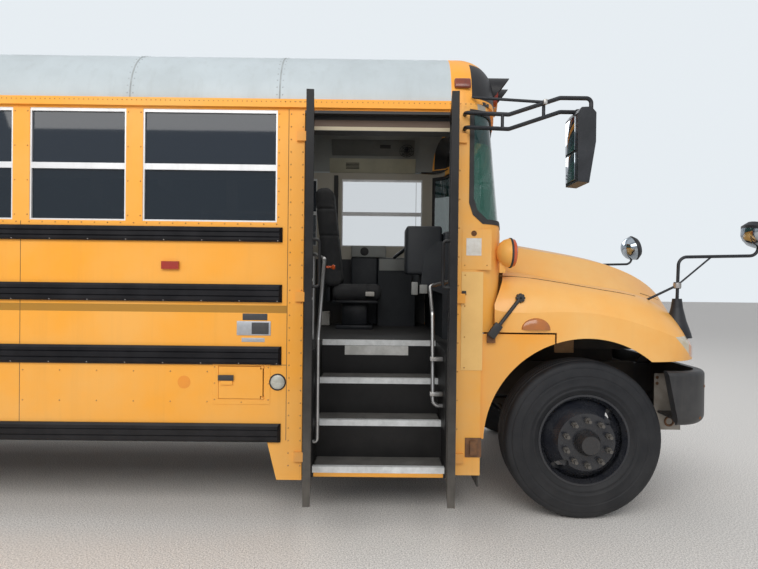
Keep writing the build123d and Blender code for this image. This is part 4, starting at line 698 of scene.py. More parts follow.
roof_seams = bmesh.new()
roof_rivets = bmesh.new()
bow_xs = [axle_x - 1.981, axle_x - 2.923] + [x for x in post_xs[2:] if x > wall_back + 0.2]
eave_strips = [(3.75 + 7.5 * i, 0.0256) for i in range(10)]
crown_strips = [(76.5 + 3 * i, 0.096) for i in range(5)]
for x in bow_xs:
    for side in (-1, 1):
        for angle, half_run in eave_strips + crown_strips:
            skin = roof_frame(side, angle, x)
            add_on_roof(roof_seams, skin, (-0.0045, -half_run, -0.001), (0.0045, half_run, 0.0010))
        for angle in [5 + 7.5 * i for i in range(10)]:
            for dx in (-0.018, 0.018):
                bmesh.ops.create_cone(
                    roof_rivets,
                    cap_ends=True,
                    segments=6,
                    radius1=0.0052,
                    radius2=0.0024,
                    depth=0.003,
                    matrix=roof_frame(side, angle, x + dx) @ Matrix.Translation((0, 0, 0.001)),
                )
seam_grey = finish_of(
    "seam_grey", (0.36, 0.39, 0.40), (0.25, 0.27, 0.27), 0.6, patch=12.0, fade=0.8, dust=0.0
)
piece("roof_seams", roof_seams, seam_grey)
rivet_grey = finish_of(
    "rivet_grey", (0.44, 0.48, 0.50), (0.30, 0.32, 0.33), 0.5, patch=30.0, fade=0.8, dust=0.0
)
piece("roof_rivets", roof_rivets, rivet_grey)

# Front cap: one moulded yellow cap with a black visor brow and a riveted lower lip; four
# warning lamps stand in its black panel under round sheet visors, and brown marker lamps
# sit on its corners.
cap_black = (0.012, 0.012, 0.014)
cap_yellow = finish_of(
    "cap_yellow", (0.95, 0.38, 0.03), (0.88, 0.45, 0.10), 0.42, patch=1.8, fade=0.8, streaks=0.15, dust=0.0,
    boxes=[
        (cap_black, (axle_x - 0.765, -2, 2.700), (axle_x + 0.5, 2, 2.965)),
        (cap_black, (axle_x - 0.645, -2, 2.500), (axle_x + 0.5, 2, 2.640)),
        # painted shade: the front cap's inside above the windscreen, in near-black
        (painted_interior_shade, (axle_x - 1.0, -1.165, 2.0), (axle_x - 0.640, 1.165, 2.690)),
    ],
)
wear(cap_yellow, "front_cap")
red_lens = finish_of(
    "red_lens", (0.36, 0.022, 0.010), (0.30, 0.04, 0.02), 0.14, patch=9.0, fade=0.4, coat=0.6, dust=0.1
)
amber_lens = finish_of(
    "amber_lens", (0.78, 0.26, 0.012), (0.70, 0.32, 0.06), 0.14, patch=9.0, coat=0.6, dust=0.1
)
wear(red_lens, "red_lamps")
wear(amber_lens, "amber_lamps")
marker_brown = finish_of(
    "marker_brown", (0.24, 0.045, 0.02), (0.13, 0.03, 0.018), 0.2, patch=14.0, fade=0.9, coat=0.5, dust=0.1
)
markers = bmesh.new()
for side in (-1, 1):
    skin = roof_frame(side, 18, axle_x - 0.826)
    add_on_roof(markers, skin, (-0.052, -0.034, -0.002), (0.052, 0.034, 0.024), 0.011, 3)
piece("cap_markers", markers, marker_brown)

visor_black = finish_of(
    "visor_black", (0.010, 0.010, 0.012), (0.022, 0.022, 0.024), 0.45, patch=9.0, fade=0.7, dust=0.0,
    shine=0.35,
)
visors = bmesh.new()
visor_r, visor_long, visor_z = 0.108, 0.200, 2.830
for lamp_y in (half_w - 0.339, half_w - 0.559, 0.559 - half_w, 0.339 - half_w):
    tip_x = axle_x - 0.362 - lamp_y * lamp_y / 8
    rear = Matrix.Translation((tip_x - 0.180, lamp_y, visor_z)) @ Matrix.Rotation(math.pi / 2, 4, "Y")
    rim = bmesh.ops.create_circle(visors, cap_ends=False, segments=32, radius=visor_r, matrix=rear)["verts"]
    grown = bmesh.ops.extrude_edge_only(visors, edges=list({e for v in rim for e in v.link_edges}))["geom"]
    mouth = [part for part in grown if isinstance(part, bmesh.types.BMVert)]
    bmesh.ops.translate(visors, vec=(visor_long, 0, 0), verts=mouth)
    walls = list({f for v in rim for f in v.link_faces})
    edges = list({e for f in walls for e in f.edges})
    bmesh.ops.bisect_plane(
        visors,
        geom=rim + mouth + edges + walls,
        plane_co=(tip_x, lamp_y, visor_z + visor_r),
        plane_no=(0.79, 0, -0.61),
        clear_outer=True,
    )
bmesh.ops.solidify(visors, geom=visors.faces[:], thickness=0.0025)
piece("lamp_visors", visors, visor_black)
lip_rivets = bmesh.new()
for side in (-1, 1):
    heads = [(x, side * (half_w + drip_out), drip_z) for x in steps(door_x - 0.12, axle_x - 0.68, 0.032)]
    add_rivets(lip_rivets, heads, (0, side, 0), drip_rivet_r)
piece("lip_rivets", lip_rivets, rivet_yellow)

# Windscreen: flat green-tinted laminated glass, darker along its top, pressed into a black
# rubber seal that grips the edge of the body opening.
wear(dark_rubber, "windscreen_seal")
screen_glass = glass_of(
    "windscreen_glass", (0.05, 0.15, 0.12), 0.62, upper=((0.03, 0.07, 0.07), 0.86), upper_z=2.42
)
wear(screen_glass, "windscreen")

# Cowl and door posts: steel posts and the cowl side, sun-bleached to a paler tan than the
# walls, with riveted edges, an inspection panel, a blank white label, rusty catches and a
# rubber stop for the door.
cowl_yellow = finish_of(
    "cowl_yellow", (0.92, 0.42, 0.06), (0.86, 0.46, 0.13), 0.48, patch=2.6, fade=0.9, streaks=0.12,
    dust=0.15, dust_colour=(0.48, 0.36, 0.20),
    boxes=[(lining_beige, (axle_x - 1.0, -inner_half, 1.1), (axle_x - 0.665, inner_half, 2.7))],
)
wear(cowl_yellow, "cowl")
post_tan = finish_of(
    "post_tan", (0.90, 0.55, 0.18), (0.84, 0.50, 0.16), 0.5, patch=5.0, fade=0.9, streaks=0.16, dust=0.2
)
panel_y, tan_y = -half_w - 0.0022, -half_w - 0.0026
plate_piece("cowl_panel", cowl_yellow, [(-0.820, -0.632, -half_w, panel_y, 1.612, 1.868, 0.0009, 1)])
plate_piece("cowl_tan_panel", post_tan, [(-0.820, -0.682, -half_w, tan_y, 0.975, 1.600, 0.001, 1)])
cowl_rivets = bmesh.new()
post_heights = steps(0.42, 2.42, 0.18)
for side in (-1, 1):
    heads = [(axle_x - 0.838, side * half_w, z) for z in post_heights]
    add_rivets(cowl_rivets, heads, (0, side, 0), rivet_r)
tan_heads = [(axle_x - 0.797, tan_y, z) for z in (1.578, 1.382, 1.186, 0.992)]
add_rivets(cowl_rivets, tan_heads, kerb_side, 0.0058)
add_rivets(cowl_rivets, [(axle_x + dx, panel_y, 1.640) for dx in (-0.80, -0.66)], kerb_side, 0.0055)
piece("cowl_rivets", cowl_rivets, rivet_yellow)
white_label = finish_of(
    "white_label", (0.74, 0.72, 0.68), (0.55, 0.50, 0.42), 0.5, patch=20.0, fade=0.7, dust=0.2
)
plate_piece("cowl_label", white_label, [(-0.792, -0.696, panel_y, panel_y - 0.0012, 1.702, 1.812, 0.0005, 1)])
rust = finish_of(
    "rust", (0.20, 0.085, 0.03), (0.09, 0.045, 0.025), 0.85, patch=22.0, fade=0.9, dust=0.2, depth=0.001,
    grain=120.0, grain_strength=0.6,
)
catches = bmesh.new()
knob_at = (axle_x - 0.744, -half_w - 0.002, 1.842)
add_turned(catches, [(0.008, 0.002), (0.014, 0.005), (0.017, 0.004), (0.018, 0)], knob_at, kerb_side, 20)
add_turned(catches, [(0, 0.010), (0.007, 0.008), (0.009, 0)], knob_at, kerb_side, 12)
add_plates(
    catches,
    [
        (-0.786, -0.682, -half_w, -half_w - 0.005, 0.424, 0.548, 0.002),
        (-0.758, -0.712, -half_w - 0.005, -half_w - 0.020, 0.440, 0.532, 0.006),
    ],
)
piece("cowl_latch", catches, rust)
stop_row = (-0.818, -0.790, -half_w, -half_w - 0.012, 1.450, 1.478, 0.004)
plate_piece("door_bumper_stop", dark_rubber, [stop_row])

# Turn lamps on the cowl: bowl-shaped steel shells in body yellow, each on a short foot, with
# a black rim and an orange-red lens facing forward.
marker_orange = finish_of(
    "marker_orange", (0.60, 0.085, 0.015), (0.48, 0.12, 0.04), 0.2, patch=14.0, fade=0.7, coat=0.5, dust=0.1
)
shell_line = [
    (0, -0.010), (0.034, -0.004), (0.064, 0.014), (0.083, 0.038), (0.092, 0.064), (0.094, 0.076),
    (0.088, 0.076), (0.07, 0.05),
]
rim_line = [(0.086, 0.072), (0.097, 0.074), (0.098, 0.080), (0.097, 0.086), (0.086, 0.087)]
lens_line = [(0, 0.118), (0.040, 0.117), (0.074, 0.113), (0.088, 0.105), (0.091, 0.094), (0.091, 0.084)]
bowl_dx, bowl_y, bowl_z = -0.577, 1.145, 1.725
shells = bmesh.new()
rims = bmesh.new()
lenses = bmesh.new()
for side in (-1, 1):
    y = side * bowl_y
    for shape, line in ((shells, shell_line), (rims, rim_line), (lenses, lens_line)):
        add_turned(shape, line, (axle_x + bowl_dx, y, bowl_z), (1, 0, 0), 36)
    foot = (bowl_dx + 0.01, bowl_dx + 0.05, y - 0.012, y + 0.012, bowl_z - 0.13, bowl_z - 0.06, 0.004)
    add_plates(shells, [foot])
piece("turn_lamp_shells", shells, cowl_yellow)
piece("turn_lamp_rims", rims, dark_rubber)
piece("turn_lamp_lenses", lenses, marker_orange)

# Bonnet: one glass-fibre tilting hood in faded yellow, moulded with a crease along its
# flanks and nose, where thin dark rods lie as painted shade, with a dark grille and a
# half-round amber lamp on each flank. Rubber pull latches on rusty plates hold it down to the cowl.
bonnet_yellow = finish_of(
    "bonnet_yellow", (0.90, 0.43, 0.09), (0.90, 0.52, 0.17), 0.34, patch=1.4, fade=0.9, streaks=0.04,
    dust=0.5, dust_colour=(0.52, 0.38, 0.22), dust_high=1.25, coat=0.15,
)
wear(bonnet_yellow, "bonnet")
grille_black = finish_of("grille_black", (0.018, 0.018, 0.019), (0.05, 0.05, 0.05), 0.5, patch=6.0, dust=0.3)
wear(grille_black, "grille")


def add_rod(shape, start, end, radius, segments=12):
    start, end = Vector(start), Vector(end)
    run = end - start
    bmesh.ops.create_cone(
        shape,
        cap_ends=True,
        segments=segments,
        radius1=radius,
        radius2=radius,
        depth=run.length,
        matrix=facing(run, (start + end) / 2),
    )


latches = bmesh.new()
latch_plates = bmesh.new()
for side in (-1, 1):
    top = Vector((axle_x - 0.438, side * 1.190, 1.436))
    foot = Vector((axle_x - 0.600, side * 1.232, 1.236))
    across = Matrix.Rotation(math.pi / 2, 4, "X")
    for spin in (0, 45, 90, 135):
        made = add_plate(latches, (-0.030, -0.009, -0.014), (0.030, 0.009, 0.014), 0.006, 2)
        turned = Matrix.Translation(top) @ Matrix.Rotation(math.radians(spin), 4, "Y") @ across
        bmesh.ops.transform(latches, matrix=turned, verts=made)
    made = add_plate(latches, (-0.030, -0.014, -0.058), (0.026, 0.014, 0.040), 0.008, 2)
    leant = Matrix.Translation(foot) @ Matrix.Rotation(math.radians(35), 4, "Y")
    bmesh.ops.transform(latches, matrix=leant, verts=made)
    add_rod(latches, top, foot, 0.012)
    plate_y = side * 1.219
    add_plates(latch_plates, [(-0.655, -0.600, plate_y - 0.004, plate_y + 0.006, 1.150, 1.215, 0.003)])
piece("bonnet_latches", latches, grille_black)
piece("bonnet_latch_plates", latch_plates, rust)

flank_crease = [
    (-0.575, 1.046, 1.578), (-0.451, 1.043, 1.574), (-0.304, 1.039, 1.561), (-0.202, 1.033, 1.547),
    (-0.101, 1.031, 1.532), (0.031, 1.038, 1.510), (0.162, 1.044, 1.488), (0.267, 1.033, 1.473),
    (0.378, 1.009, 1.452),
]
nose_crease = [(0.516, 0.787, 1.467), (0.572, 0.758, 1.454), (0.633, 0.723, 1.437), (0.707, 0.661, 1.418)]
# thin dark rods laid along the bonnet's crease as painted shade where its surface folds
crease_shade_rods = bmesh.new()
for side in (-1, 1):
    for crease in (flank_crease, nose_crease):
        line = [(axle_x + x, side * y, z) for x, y, z in crease]
        for start, end in zip(line, line[1:]):
            add_rod(crease_shade_rods, start, end, 0.0032, 8)
piece("bonnet_parting_lines", crease_shade_rods, seam_brown, "bonnet")

flank_lamps = bmesh.new()
for side in (-1, 1):
    made = bmesh.ops.create_uvsphere(flank_lamps, u_segments=32, v_segments=16, radius=1.0)["verts"]
    bmesh.ops.scale(flank_lamps, vec=(0.094, 0.024, 0.074), verts=made)
    edges = list({e for v in made for e in v.link_edges})
    faces = list({f for v in made for f in v.link_faces})
    cut = bmesh.ops.bisect_plane(
        flank_lamps, geom=made + edges + faces, plane_co=(0, 0, 0), plane_no=(0, 0, -1), clear_outer=True
    )["geom_cut"]
    rim_edges = [part for part in cut if isinstance(part, bmesh.types.BMEdge)]
    bmesh.ops.contextual_create(flank_lamps, geom=rim_edges)
    kept = {v for v in made if v.is_valid} | {part for part in cut if isinstance(part, bmesh.types.BMVert)}
    bmesh.ops.translate(flank_lamps, vec=(axle_x - 0.341, side * 1.203, 1.236), verts=list(kept))
flank_amber = finish_of(
    "flank_amber", (0.46, 0.15, 0.03), (0.34, 0.12, 0.04), 0.18, patch=14.0, fade=0.8, coat=0.5, dust=0.1
)
piece("flank_lamps", flank_lamps, flank_amber, "bonnet")

# Headlamps: yellowed clear lenses wrapped round the bonnet's corners in a dark gasket, with
# the turn lamp's amber part at their front.
headlamp_lens = finish_of(
    "headlamp_lens", (0.66, 0.60, 0.46), (0.52, 0.44, 0.30), 0.12, patch=14.0, fade=0.8, coat=0.8, dust=0.2,
    boxes=[((0.70, 0.33, 0.16), (axle_x + 0.715, -2, 1.0), (axle_x + 0.9, 2, 1.3))],
)
wear(headlamp_lens, "headlamps")

# Mirrors: flat and convex glasses in black housings on steel arms at the body's corners,
# and deep convex bowls on bent posts at the bonnet's front corners, all held by bright
# steel clamps.
mirror_black = finish_of(
    "mirror_black", (0.012, 0.014, 0.018), (0.028, 0.031, 0.038), 0.42, patch=8.0, fade=0.7, streaks=0.1,
    dust=0.0, shine=0.35,
)
wear(mirror_black, "side_mirrors", "bonnet_mirrors")
mirror_glass = finish_of(
    "mirror_glass", (0.42, 0.47, 0.52), (0.36, 0.40, 0.44), 0.04, metallic=1.0, patch=10.0, fade=0.4,
    dust=0.0, grain_strength=0.02,
)
clamp_steel = finish_of(
    "clamp_steel", (0.50, 0.50, 0.50), (0.30, 0.28, 0.25), 0.35, metallic=0.8, patch=30.0, fade=0.8,
    dust=0.0,
)
bowl_r, bowl_deep = 0.125, 0.120
bowl_line = [
    (0, bowl_deep + 0.0015),
    (0.5 * bowl_r, 0.87 * bowl_deep + 0.0015),
    (0.72 * bowl_r, 0.70 * bowl_deep + 0.0015),
    (0.87 * bowl_r, 0.5 * bowl_deep + 0.001),
    (0.96 * bowl_r, 0.14 * bowl_deep + 0.001),
]
collar_line = [(0.0245, -0.018), (0.0255, -0.010), (0.0255, 0.010), (0.0245, 0.018)]
flange_line = [(0, 0.004), (0.030, 0.004), (0.034, 0.0)]
glasses = bmesh.new()
bowls = bmesh.new()
arm_clamps = bmesh.new()
post_clamps = bmesh.new()
for side, bowl_drop in ((-1, 70), (1, 15)):
    drop = math.radians(bowl_drop)
    post_y = side * (half_w - 0.264)
    add_turned(bowls, bowl_line, (axle_x + 1.26, post_y, 1.90), (-math.cos(drop), 0, -math.sin(drop)), 40)
    head_y, loop_y = side * (half_w + 0.253), side * (half_w + 0.231)
    add_plates(
        glasses,
        [
            (-0.2310, -0.2240, head_y - 0.078, head_y + 0.078, 2.300, 2.492, 0.0015),
            (-0.2290, -0.2210, head_y - 0.074, head_y + 0.074, 2.130, 2.285, 0.0015),
        ],
    )
    add_plates(arm_clamps, [(-0.384, -0.362, loop_y - 0.015, loop_y + 0.015, 2.588, 2.617, 0.003)])
    add_turned(post_clamps, collar_line, (axle_x + 0.690, post_y, 1.5275), (0, 0, 1), 20)
    foot_at = (axle_x + 0.450, side * (half_w - 0.304), 1.402)
    add_turned(post_clamps, flange_line, foot_at, (0, side * 0.45, 0.9), 20)
piece("mirror_glasses", glasses, mirror_glass)
piece("mirror_bowls", bowls, mirror_glass, "bonnet")
piece("mirror_clamps", arm_clamps, clamp_steel)
piece("mirror_post_clamps", post_clamps, clamp_steel, "bonnet")

# Front bumper and what hangs behind it: a pressed steel bumper in worn dark grey, pale grey
# filler plates with rusty bolts, and a rubber mud flap behind each front wheel.
bumper_grey = finish_of(
    "bumper_grey", (0.026, 0.027, 0.030), (0.048, 0.048, 0.050), 0.40, shine=0.35, patch=5.0, fade=0.9,
    streaks=0.3, grime=(0.10, 0.095, 0.085), dust=0.25, dust_high=1.0,
)
wear(bumper_grey, "front_bumper", "rear_bumper")
filler_grey = finish_of(
    "filler_grey", (0.34, 0.31, 0.27), (0.20, 0.175, 0.145), 0.6, patch=9.0, fade=0.9, dust=0.6
)
filler_bolts = bmesh.new()
for side in (-1, 1):
    out = (0, side, 0)
    add_rivets(filler_bolts, [(axle_x + 0.645, side * 0.792, z) for z in (0.872, 0.830)], out, 0.013)
    washer_line = [(0.022, 0.000), (0.026, 0.006), (0.034, 0.006), (0.038, 0.0)]
    add_turned(filler_bolts, washer_line, (axle_x + 0.735, side * 0.790, 0.560), out, 24)
    add_rivets(filler_bolts, [(axle_x + 0.794, side * 1.107, 0.871)], (0.79, side * 0.61, 0), 0.012)
    add_rivets(filler_bolts, [(axle_x + 0.745, side * 1.152, 0.672)], (0.58, side * 0.78, -0.21), 0.012)
filler_rows = [(0.625, 0.815, side * 0.790, side * 0.783, 0.500, 0.900, 0.002) for side in (-1, 1)]
plate_piece("filler_plates", filler_grey, filler_rows)
piece("filler_bolts", filler_bolts, rust)
flap_rows = [(-0.700, -0.688, side * 0.880, side * 1.165, 0.215, 0.640, 0.004) for side in (-1, 1)]
plate_piece("mud_flaps", dark_rubber, flap_rows)

# Wheels: pressed steel discs in glossy black, held by ten studs with a dusty ring of nuts
# round the hub.
front_y, rear_in, rear_out = 1.020, 0.747, 1.077
nut_brown, hub_black = (0.085, 0.078, 0.070), (0.018, 0.018, 0.020)
stud_boxes = []
for side in (-1, 1):
    face, tip = sorted((side * (front_y + 0.1665), side * (front_y + 0.26)))
    stud_boxes.append((nut_brown, (axle_x - 0.175, face, 0.34), (axle_x + 0.175, tip, 0.70)))
    stud_boxes.append((hub_black, (axle_x - 0.096, face, 0.42), (axle_x + 0.096, tip, 0.612)))
wheel_black = finish_of(
    "wheel_black", (0.008, 0.010, 0.016), (0.020, 0.022, 0.027), 0.22, patch=9.0, fade=0.8, dust=0.12,
    dust_colour=(0.16, 0.14, 0.12), dust_low=0.1, dust_high=1.0, coat=0.3, boxes=stud_boxes,
)
wear(wheel_black, "front_wheel_left", "front_wheel_right", "rear_wheels_left", "rear_wheels_right")

# Tyres: worn black rubber moulded with stepped, ribbed sidewalls and grooved treads, single
# at the front and twin at the rear.
tyre_rubber = finish_of(
    "tyre_rubber", (0.011, 0.012, 0.015), (0.024, 0.025, 0.028), 0.62, patch=7.0, fade=0.7, dust=0.15,
    shine=0.35, dust_colour=(0.13, 0.12, 0.105), dust_low=0.0, dust_high=0.9, grain=160.0, depth=0.0012,
    grain_strength=0.4,
)
tyre_r = 0.516
bead_and_wall = [
    (0.286, 0.098), (0.292, 0.116), (0.306, 0.124), (0.322, 0.131), (0.326, 0.1345), (0.334, 0.1345),
    (0.338, 0.132), (0.352, 0.1345), (0.356, 0.137), (0.366, 0.137), (0.370, 0.1355), (0.405, 0.1385),
    (0.408, 0.1365), (0.418, 0.1365), (0.421, 0.1385), (0.446, 0.1365), (0.468, 0.131), (0.472, 0.127),
    (0.486, 0.1255), (0.500, 0.1185), (0.508, 0.108),
]
half_tread = [
    (0.5125, 0.094), (0.5145, 0.078), (0.505, 0.075), (0.505, 0.066), (0.5152, 0.063), (0.5158, 0.030),
    (0.505, 0.027), (0.505, 0.018), (tyre_r, 0.015),
]
tyre_half = bead_and_wall + half_tread
tyre_line = tyre_half + [(r, -y) for r, y in reversed(tyre_half)] + tyre_half[:1]
for end, axle, middles in (("front", axle_x, [front_y]), ("rear", rear_axle_x, [rear_in, rear_out])):
    for side_name, side in (("right", -1), ("left", 1)):
        tyres = bmesh.new()
        for middle in middles:
            add_turned(tyres, tyre_line, (axle, side * middle, tyre_r), (0, 1, 0), 72)
        node = f"front_tyre_{side_name}" if end == "front" else f"rear_tyres_{side_name}"
        body = f"front_wheel_{side_name}" if end == "front" else f"rear_wheels_{side_name}"
        rubber = piece(f"{node}_rubber", tyres, tyre_rubber, body, 28.0)
        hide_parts(node)

# Running gear and engine: frame rails, axles, tank and exhaust under dust and old grease,
# with a tan hose bracket and flat steel liners that show in the front wheels' openings.
chassis_black = finish_of(
    "chassis_black", (0.016, 0.016, 0.016), (0.045, 0.038, 0.03), 0.65, patch=5.0, fade=0.9, dust=0.8,
    dust_colour=(0.12, 0.10, 0.08), dust_high=1.2, grain=90.0, depth=0.001,
)
wear(chassis_black, "chassis_frame", "front_axle", "rear_axle", "fuel_tank", "exhaust", "engine")
wear(chassis_black, "knuckle_left", "knuckle_right", "tie_rod")
bracket_tan = finish_of(
    "bracket_tan", (0.34, 0.19, 0.08), (0.20, 0.11, 0.05), 0.7, patch=14.0, fade=0.9, dust=0.4
)
plate_piece(
    "arch_bracket",
    bracket_tan,
    [
        (-0.115, 0.020, -0.872, -0.860, 1.050, 1.200, 0.004),
        (-0.115, -0.065, -0.868, -0.600, 1.180, 1.192, 0.003),
    ],
)
liner_rows = [(-0.520, 0.620, side * 0.600, side * 0.606, 1.050, 1.330, 0.002) for side in (-1, 1)]
plate_piece("arch_liners", chassis_black, liner_rows)

# Entrance doors: two black-painted aluminium leaves with full-height glass that fold out,
# with a small tan grab handle in white ends and two bolt heads on the rear one.
door_black = finish_of(
    "door_black", (0.008, 0.008, 0.009), (0.018, 0.018, 0.019), 0.4, shine=0.25, patch=5.0, fade=0.8,
    dust=0.5, streaks=0.2, grime=(0.09, 0.085, 0.08),
)
wear(door_black, "front_leaf", "rear_leaf")
wear(glass_of("door_glass", (0.05, 0.07, 0.07), 0.35), "front_leaf_glass", "rear_leaf_glass")
handle_tan = finish_of(
    "handle_tan", (0.42, 0.25, 0.11), (0.30, 0.18, 0.09), 0.45, patch=18.0, fade=0.7, dust=0.2
)
handle_dx, handle_y = -1.752, -1.400
handle_x = axle_x + handle_dx
handle_foot, handle_head = 1.424, 1.536
handle = bmesh.new()
add_rod(handle, (handle_x, handle_y, handle_foot), (handle_x, handle_y, handle_head), 0.010)
piece("leaf_handle", handle, handle_tan, "rear_leaf")
end_rows = [
    (handle_dx - 0.024, handle_dx + 0.011, handle_y - 0.012, handle_y + 0.012, z - 0.010, z + 0.010, 0.004)
    for z in (handle_foot, handle_head)
]
plate_piece("leaf_handle_ends", white_label, end_rows, "rear_leaf")
leaf_bolts = bmesh.new()
heads = [(handle_x - 0.020, handle_y, 1.25), (handle_x - 0.024, handle_y, 0.60)]
add_rivets(leaf_bolts, heads, (1, 0, 0), 0.009)
piece("leaf_bolts", leaf_bolts, clamp_steel, "rear_leaf")

# Entrance steps: a black steel well with ribbed rubber treads, bright worn nosings, a pale
# kick plate on the top riser and a yellow sill.
well_black = finish_of(
    "well_black", (0.004, 0.004, 0.005), (0.011, 0.011, 0.012), 0.5, patch=4.0, fade=0.8, dust=0.06,
    shine=0.3,
)
wear(well_black, "step_well")
worn_nosing = finish_of(
    "worn_nosing", (0.80, 0.82, 0.83), (0.58, 0.60, 0.60), 0.34, metallic=0.15, patch=16.0, fade=0.8,
    dust=0.05,
)
wear(worn_nosing, "nosings")
tread_grey = finish_of(
    "tread_grey", (0.045, 0.045, 0.044), (0.085, 0.083, 0.080), 0.75, patch=8.0, fade=0.9, dust=0.3
)
well_back, well_front = -1.750, -0.915
rib_pitch, rib_w = 0.0158, 0.0085
tread_rows = []
for y, z in ((-0.530, 0.834), (-0.740, 0.584), (-0.950, 0.334)):
    tread_rows.append((well_back, well_front, y - 0.003, y - 0.178, z, z + 0.0025, 0.001, 1))
    for i in range(11):
        rib_y = y - 0.010 - i * rib_pitch
        across = (well_back + 0.004, well_front - 0.004, rib_y, rib_y - rib_w)
        tread_rows.append((*across, z + 0.0025, z + 0.0060, 0.0015, 1))
plate_piece("step_treads", tread_grey, tread_rows)
plate_pale = finish_of(
    "plate_pale", (0.66, 0.66, 0.64), (0.46, 0.46, 0.44), 0.5, patch=9.0, fade=0.9, dust=0.2
)
plate_piece("kick_plate", plate_pale, [(-1.590, -1.112, -0.5305, -0.5335, 0.976, 1.046, 0.001, 1)])
plate_piece("sill_strip", bus_yellow, [(well_back, well_front, -1.160, -1.1635, 0.272, 0.298, 0.001, 1)])

# Floor and headliner: black ribbed rubber over plywood below, and above a thin grey steel
# lining bent to the roof's curve, left open at the hatches.
floor_black = finish_of(
    "floor_black", (0.022, 0.022, 0.023), (0.045, 0.043, 0.041), 0.7, patch=4.0, fade=0.8, dust=0.0
)
wear(floor_black, "floor")
lining_grey = finish_of(
    "lining_grey", (0.30, 0.31, 0.30), (0.22, 0.23, 0.22), 0.5, patch=3.0, fade=0.6, dust=0.0
)
headliner = bmesh.new()
lining_angles = [2 + 8.1 * i for i in range(9)] + [74.9, 79.0, 82.5, 86.0, 90.0]
lining_inset = 0.0475
for back, front, inset in (
    (wall_back + 0.06, -3.985, lining_inset),
    (-3.245, 0.215, lining_inset),
    (0.955, axle_x - 0.93, lining_inset),
    (axle_x - 0.935, axle_x - 0.72, 0.088),
):
    line = []
    for side, angles in ((1, lining_angles), (-1, lining_angles[-2::-1])):
        for angle in angles:
            line.append(headliner.verts.new(roof_frame(side, angle, back) @ Vector((0, 0, -inset))))
    bends = [headliner.edges.new(pair) for pair in zip(line, line[1:])]
    swept = bmesh.ops.extrude_edge_only(headliner, edges=bends)["geom"]
    far_edge = [part for part in swept if isinstance(part, bmesh.types.BMVert)]
    bmesh.ops.translate(headliner, vec=(front - back, 0, 0), verts=far_edge)
bmesh.ops.recalc_face_normals(headliner, faces=headliner.faces)
bmesh.ops.solidify(headliner, geom=headliner.faces[:], thickness=0.0015)
piece("headliner", headliner, lining_grey, sharp=20.0)

# Driver's corner of the roof: a dark cove and a beige header panel over the driver's window,
# with a louvred vent, a small grille and a wire-guarded fan screwed to them.
cove_dark = finish_of(
    "cove_dark", (0.17, 0.175, 0.165), (0.13, 0.13, 0.125), 0.5, patch=5.0, fade=0.7, dust=0.0
)
cove = bmesh.new()
add_on_roof(cove, roof_frame(1, 48, axle_x - 1.36), (-0.47, -0.095, -0.070), (0.38, 0.095, -0.062), 0.002)
piece("driver_cove", cove, cove_dark)
panel_beige = finish_of(
    "panel_beige", (0.46, 0.44, 0.33), (0.36, 0.34, 0.26), 0.5, patch=4.0, fade=0.8, dust=0.0
)
header = bmesh.new()
add_on_roof(header, roof_frame(1, 13, axle_x - 1.36), (-0.50, -0.075, -0.060), (0.40, 0.075, -0.0555), 0.002)
piece("driver_header", header, panel_beige)
vents = bmesh.new()
for i in range(5):
    slat = -0.030 + i * 0.014
    skin = roof_frame(1, 13, axle_x - 1.62)
    add_on_roof(vents, skin, (-0.070, slat, -0.0665), (0.070, slat + 0.006, -0.0600), 0.001, 1)
skin = roof_frame(1, 52, axle_x - 1.28)
add_on_roof(vents, skin, (-0.055, -0.022, -0.0755), (0.055, 0.022, -0.0690), 0.003)
piece("driver_vents", vents, grille_black)
fan = bmesh.new()
fan_at = roof_frame(1, 48, axle_x - 1.06) @ Matrix.Translation((0, 0, -0.115))
for radius in (0.030, 0.052, 0.074):
    inner, outer = radius - 0.0018, radius + 0.0018
    ring_line = [(inner, 0.004), (outer, 0.004), (outer, 0), (inner, 0), (inner, 0.004)]
    made = add_turned(fan, ring_line, (0, 0, 0), (0, 0, 1), 28)
    bmesh.ops.transform(fan, matrix=fan_at, verts=made)
for i in range(8):
    spoke = fan_at @ Matrix.Rotation(math.tau * i / 8, 4, "Z")
    add_on_roof(fan, spoke, (-0.0015, 0.014, -0.003), (0.0015, 0.074, 0.003))
bmesh.ops.create_cone(
    fan,
    cap_ends=True,
    segments=20,
    radius1=0.016,
    radius2=0.022,
    depth=0.052,
    matrix=fan_at @ Matrix.Translation((0, 0, 0.022)),
)
piece("driver_fan", fan, mirror_black)

# Driver's controls: a dark moulded dash and steering wheel with a rounded shroud, a side
# console under a grey panel, small switch boxes, a belt, a speaker and bright grab rails.
dash_dark = finish_of(
    "dash_dark", (0.014, 0.018, 0.024), (0.030, 0.034, 0.040), 0.5, patch=5.0, fade=0.7, dust=0.0
)
wear(dash_dark, "dashboard", "steering_wheel")
rail_steel = finish_of(
    "rail_steel", (0.52, 0.52, 0.52), (0.38, 0.37, 0.36), 0.28, metallic=0.9, patch=12.0, fade=0.6, dust=0.1
)
wear(rail_steel, "grab_rails", "seat_frames")
plate_piece(
    "dash_shroud",
    dash_dark,
    [
        (-1.128, -0.845, -0.372, -0.060, 1.590, 1.970, 0.024, 4),
        (-0.838, -0.750, -0.376, -0.080, 1.560, 1.930, 0.030, 4),
    ],
)
plate_piece(
    "console_panel",
    lining_grey,
    [
        (-1.330, -0.980, 0.880, 1.168, 1.761, 1.772, 0.003),
        (-1.330, -0.985, 0.866, 0.862, 1.640, 1.755, 0.001, 1),
        (-1.612, -1.262, 0.868, 0.905, 1.768, 1.888, 0.012, 3),
    ],
)
plate_piece(
    "side_console",
    dash_dark,
    [
        (-1.615, -1.345, 0.880, 1.165, 1.090, 1.775, 0.020, 3),
        (-1.600, -1.275, 0.900, 1.168, 1.760, 1.880, 0.010),
    ],
)
belt = bmesh.new()
add_plates(belt, [(-1.812, -1.768, 1.150, 1.156, 2.140, 2.640, 0.002, 1)])
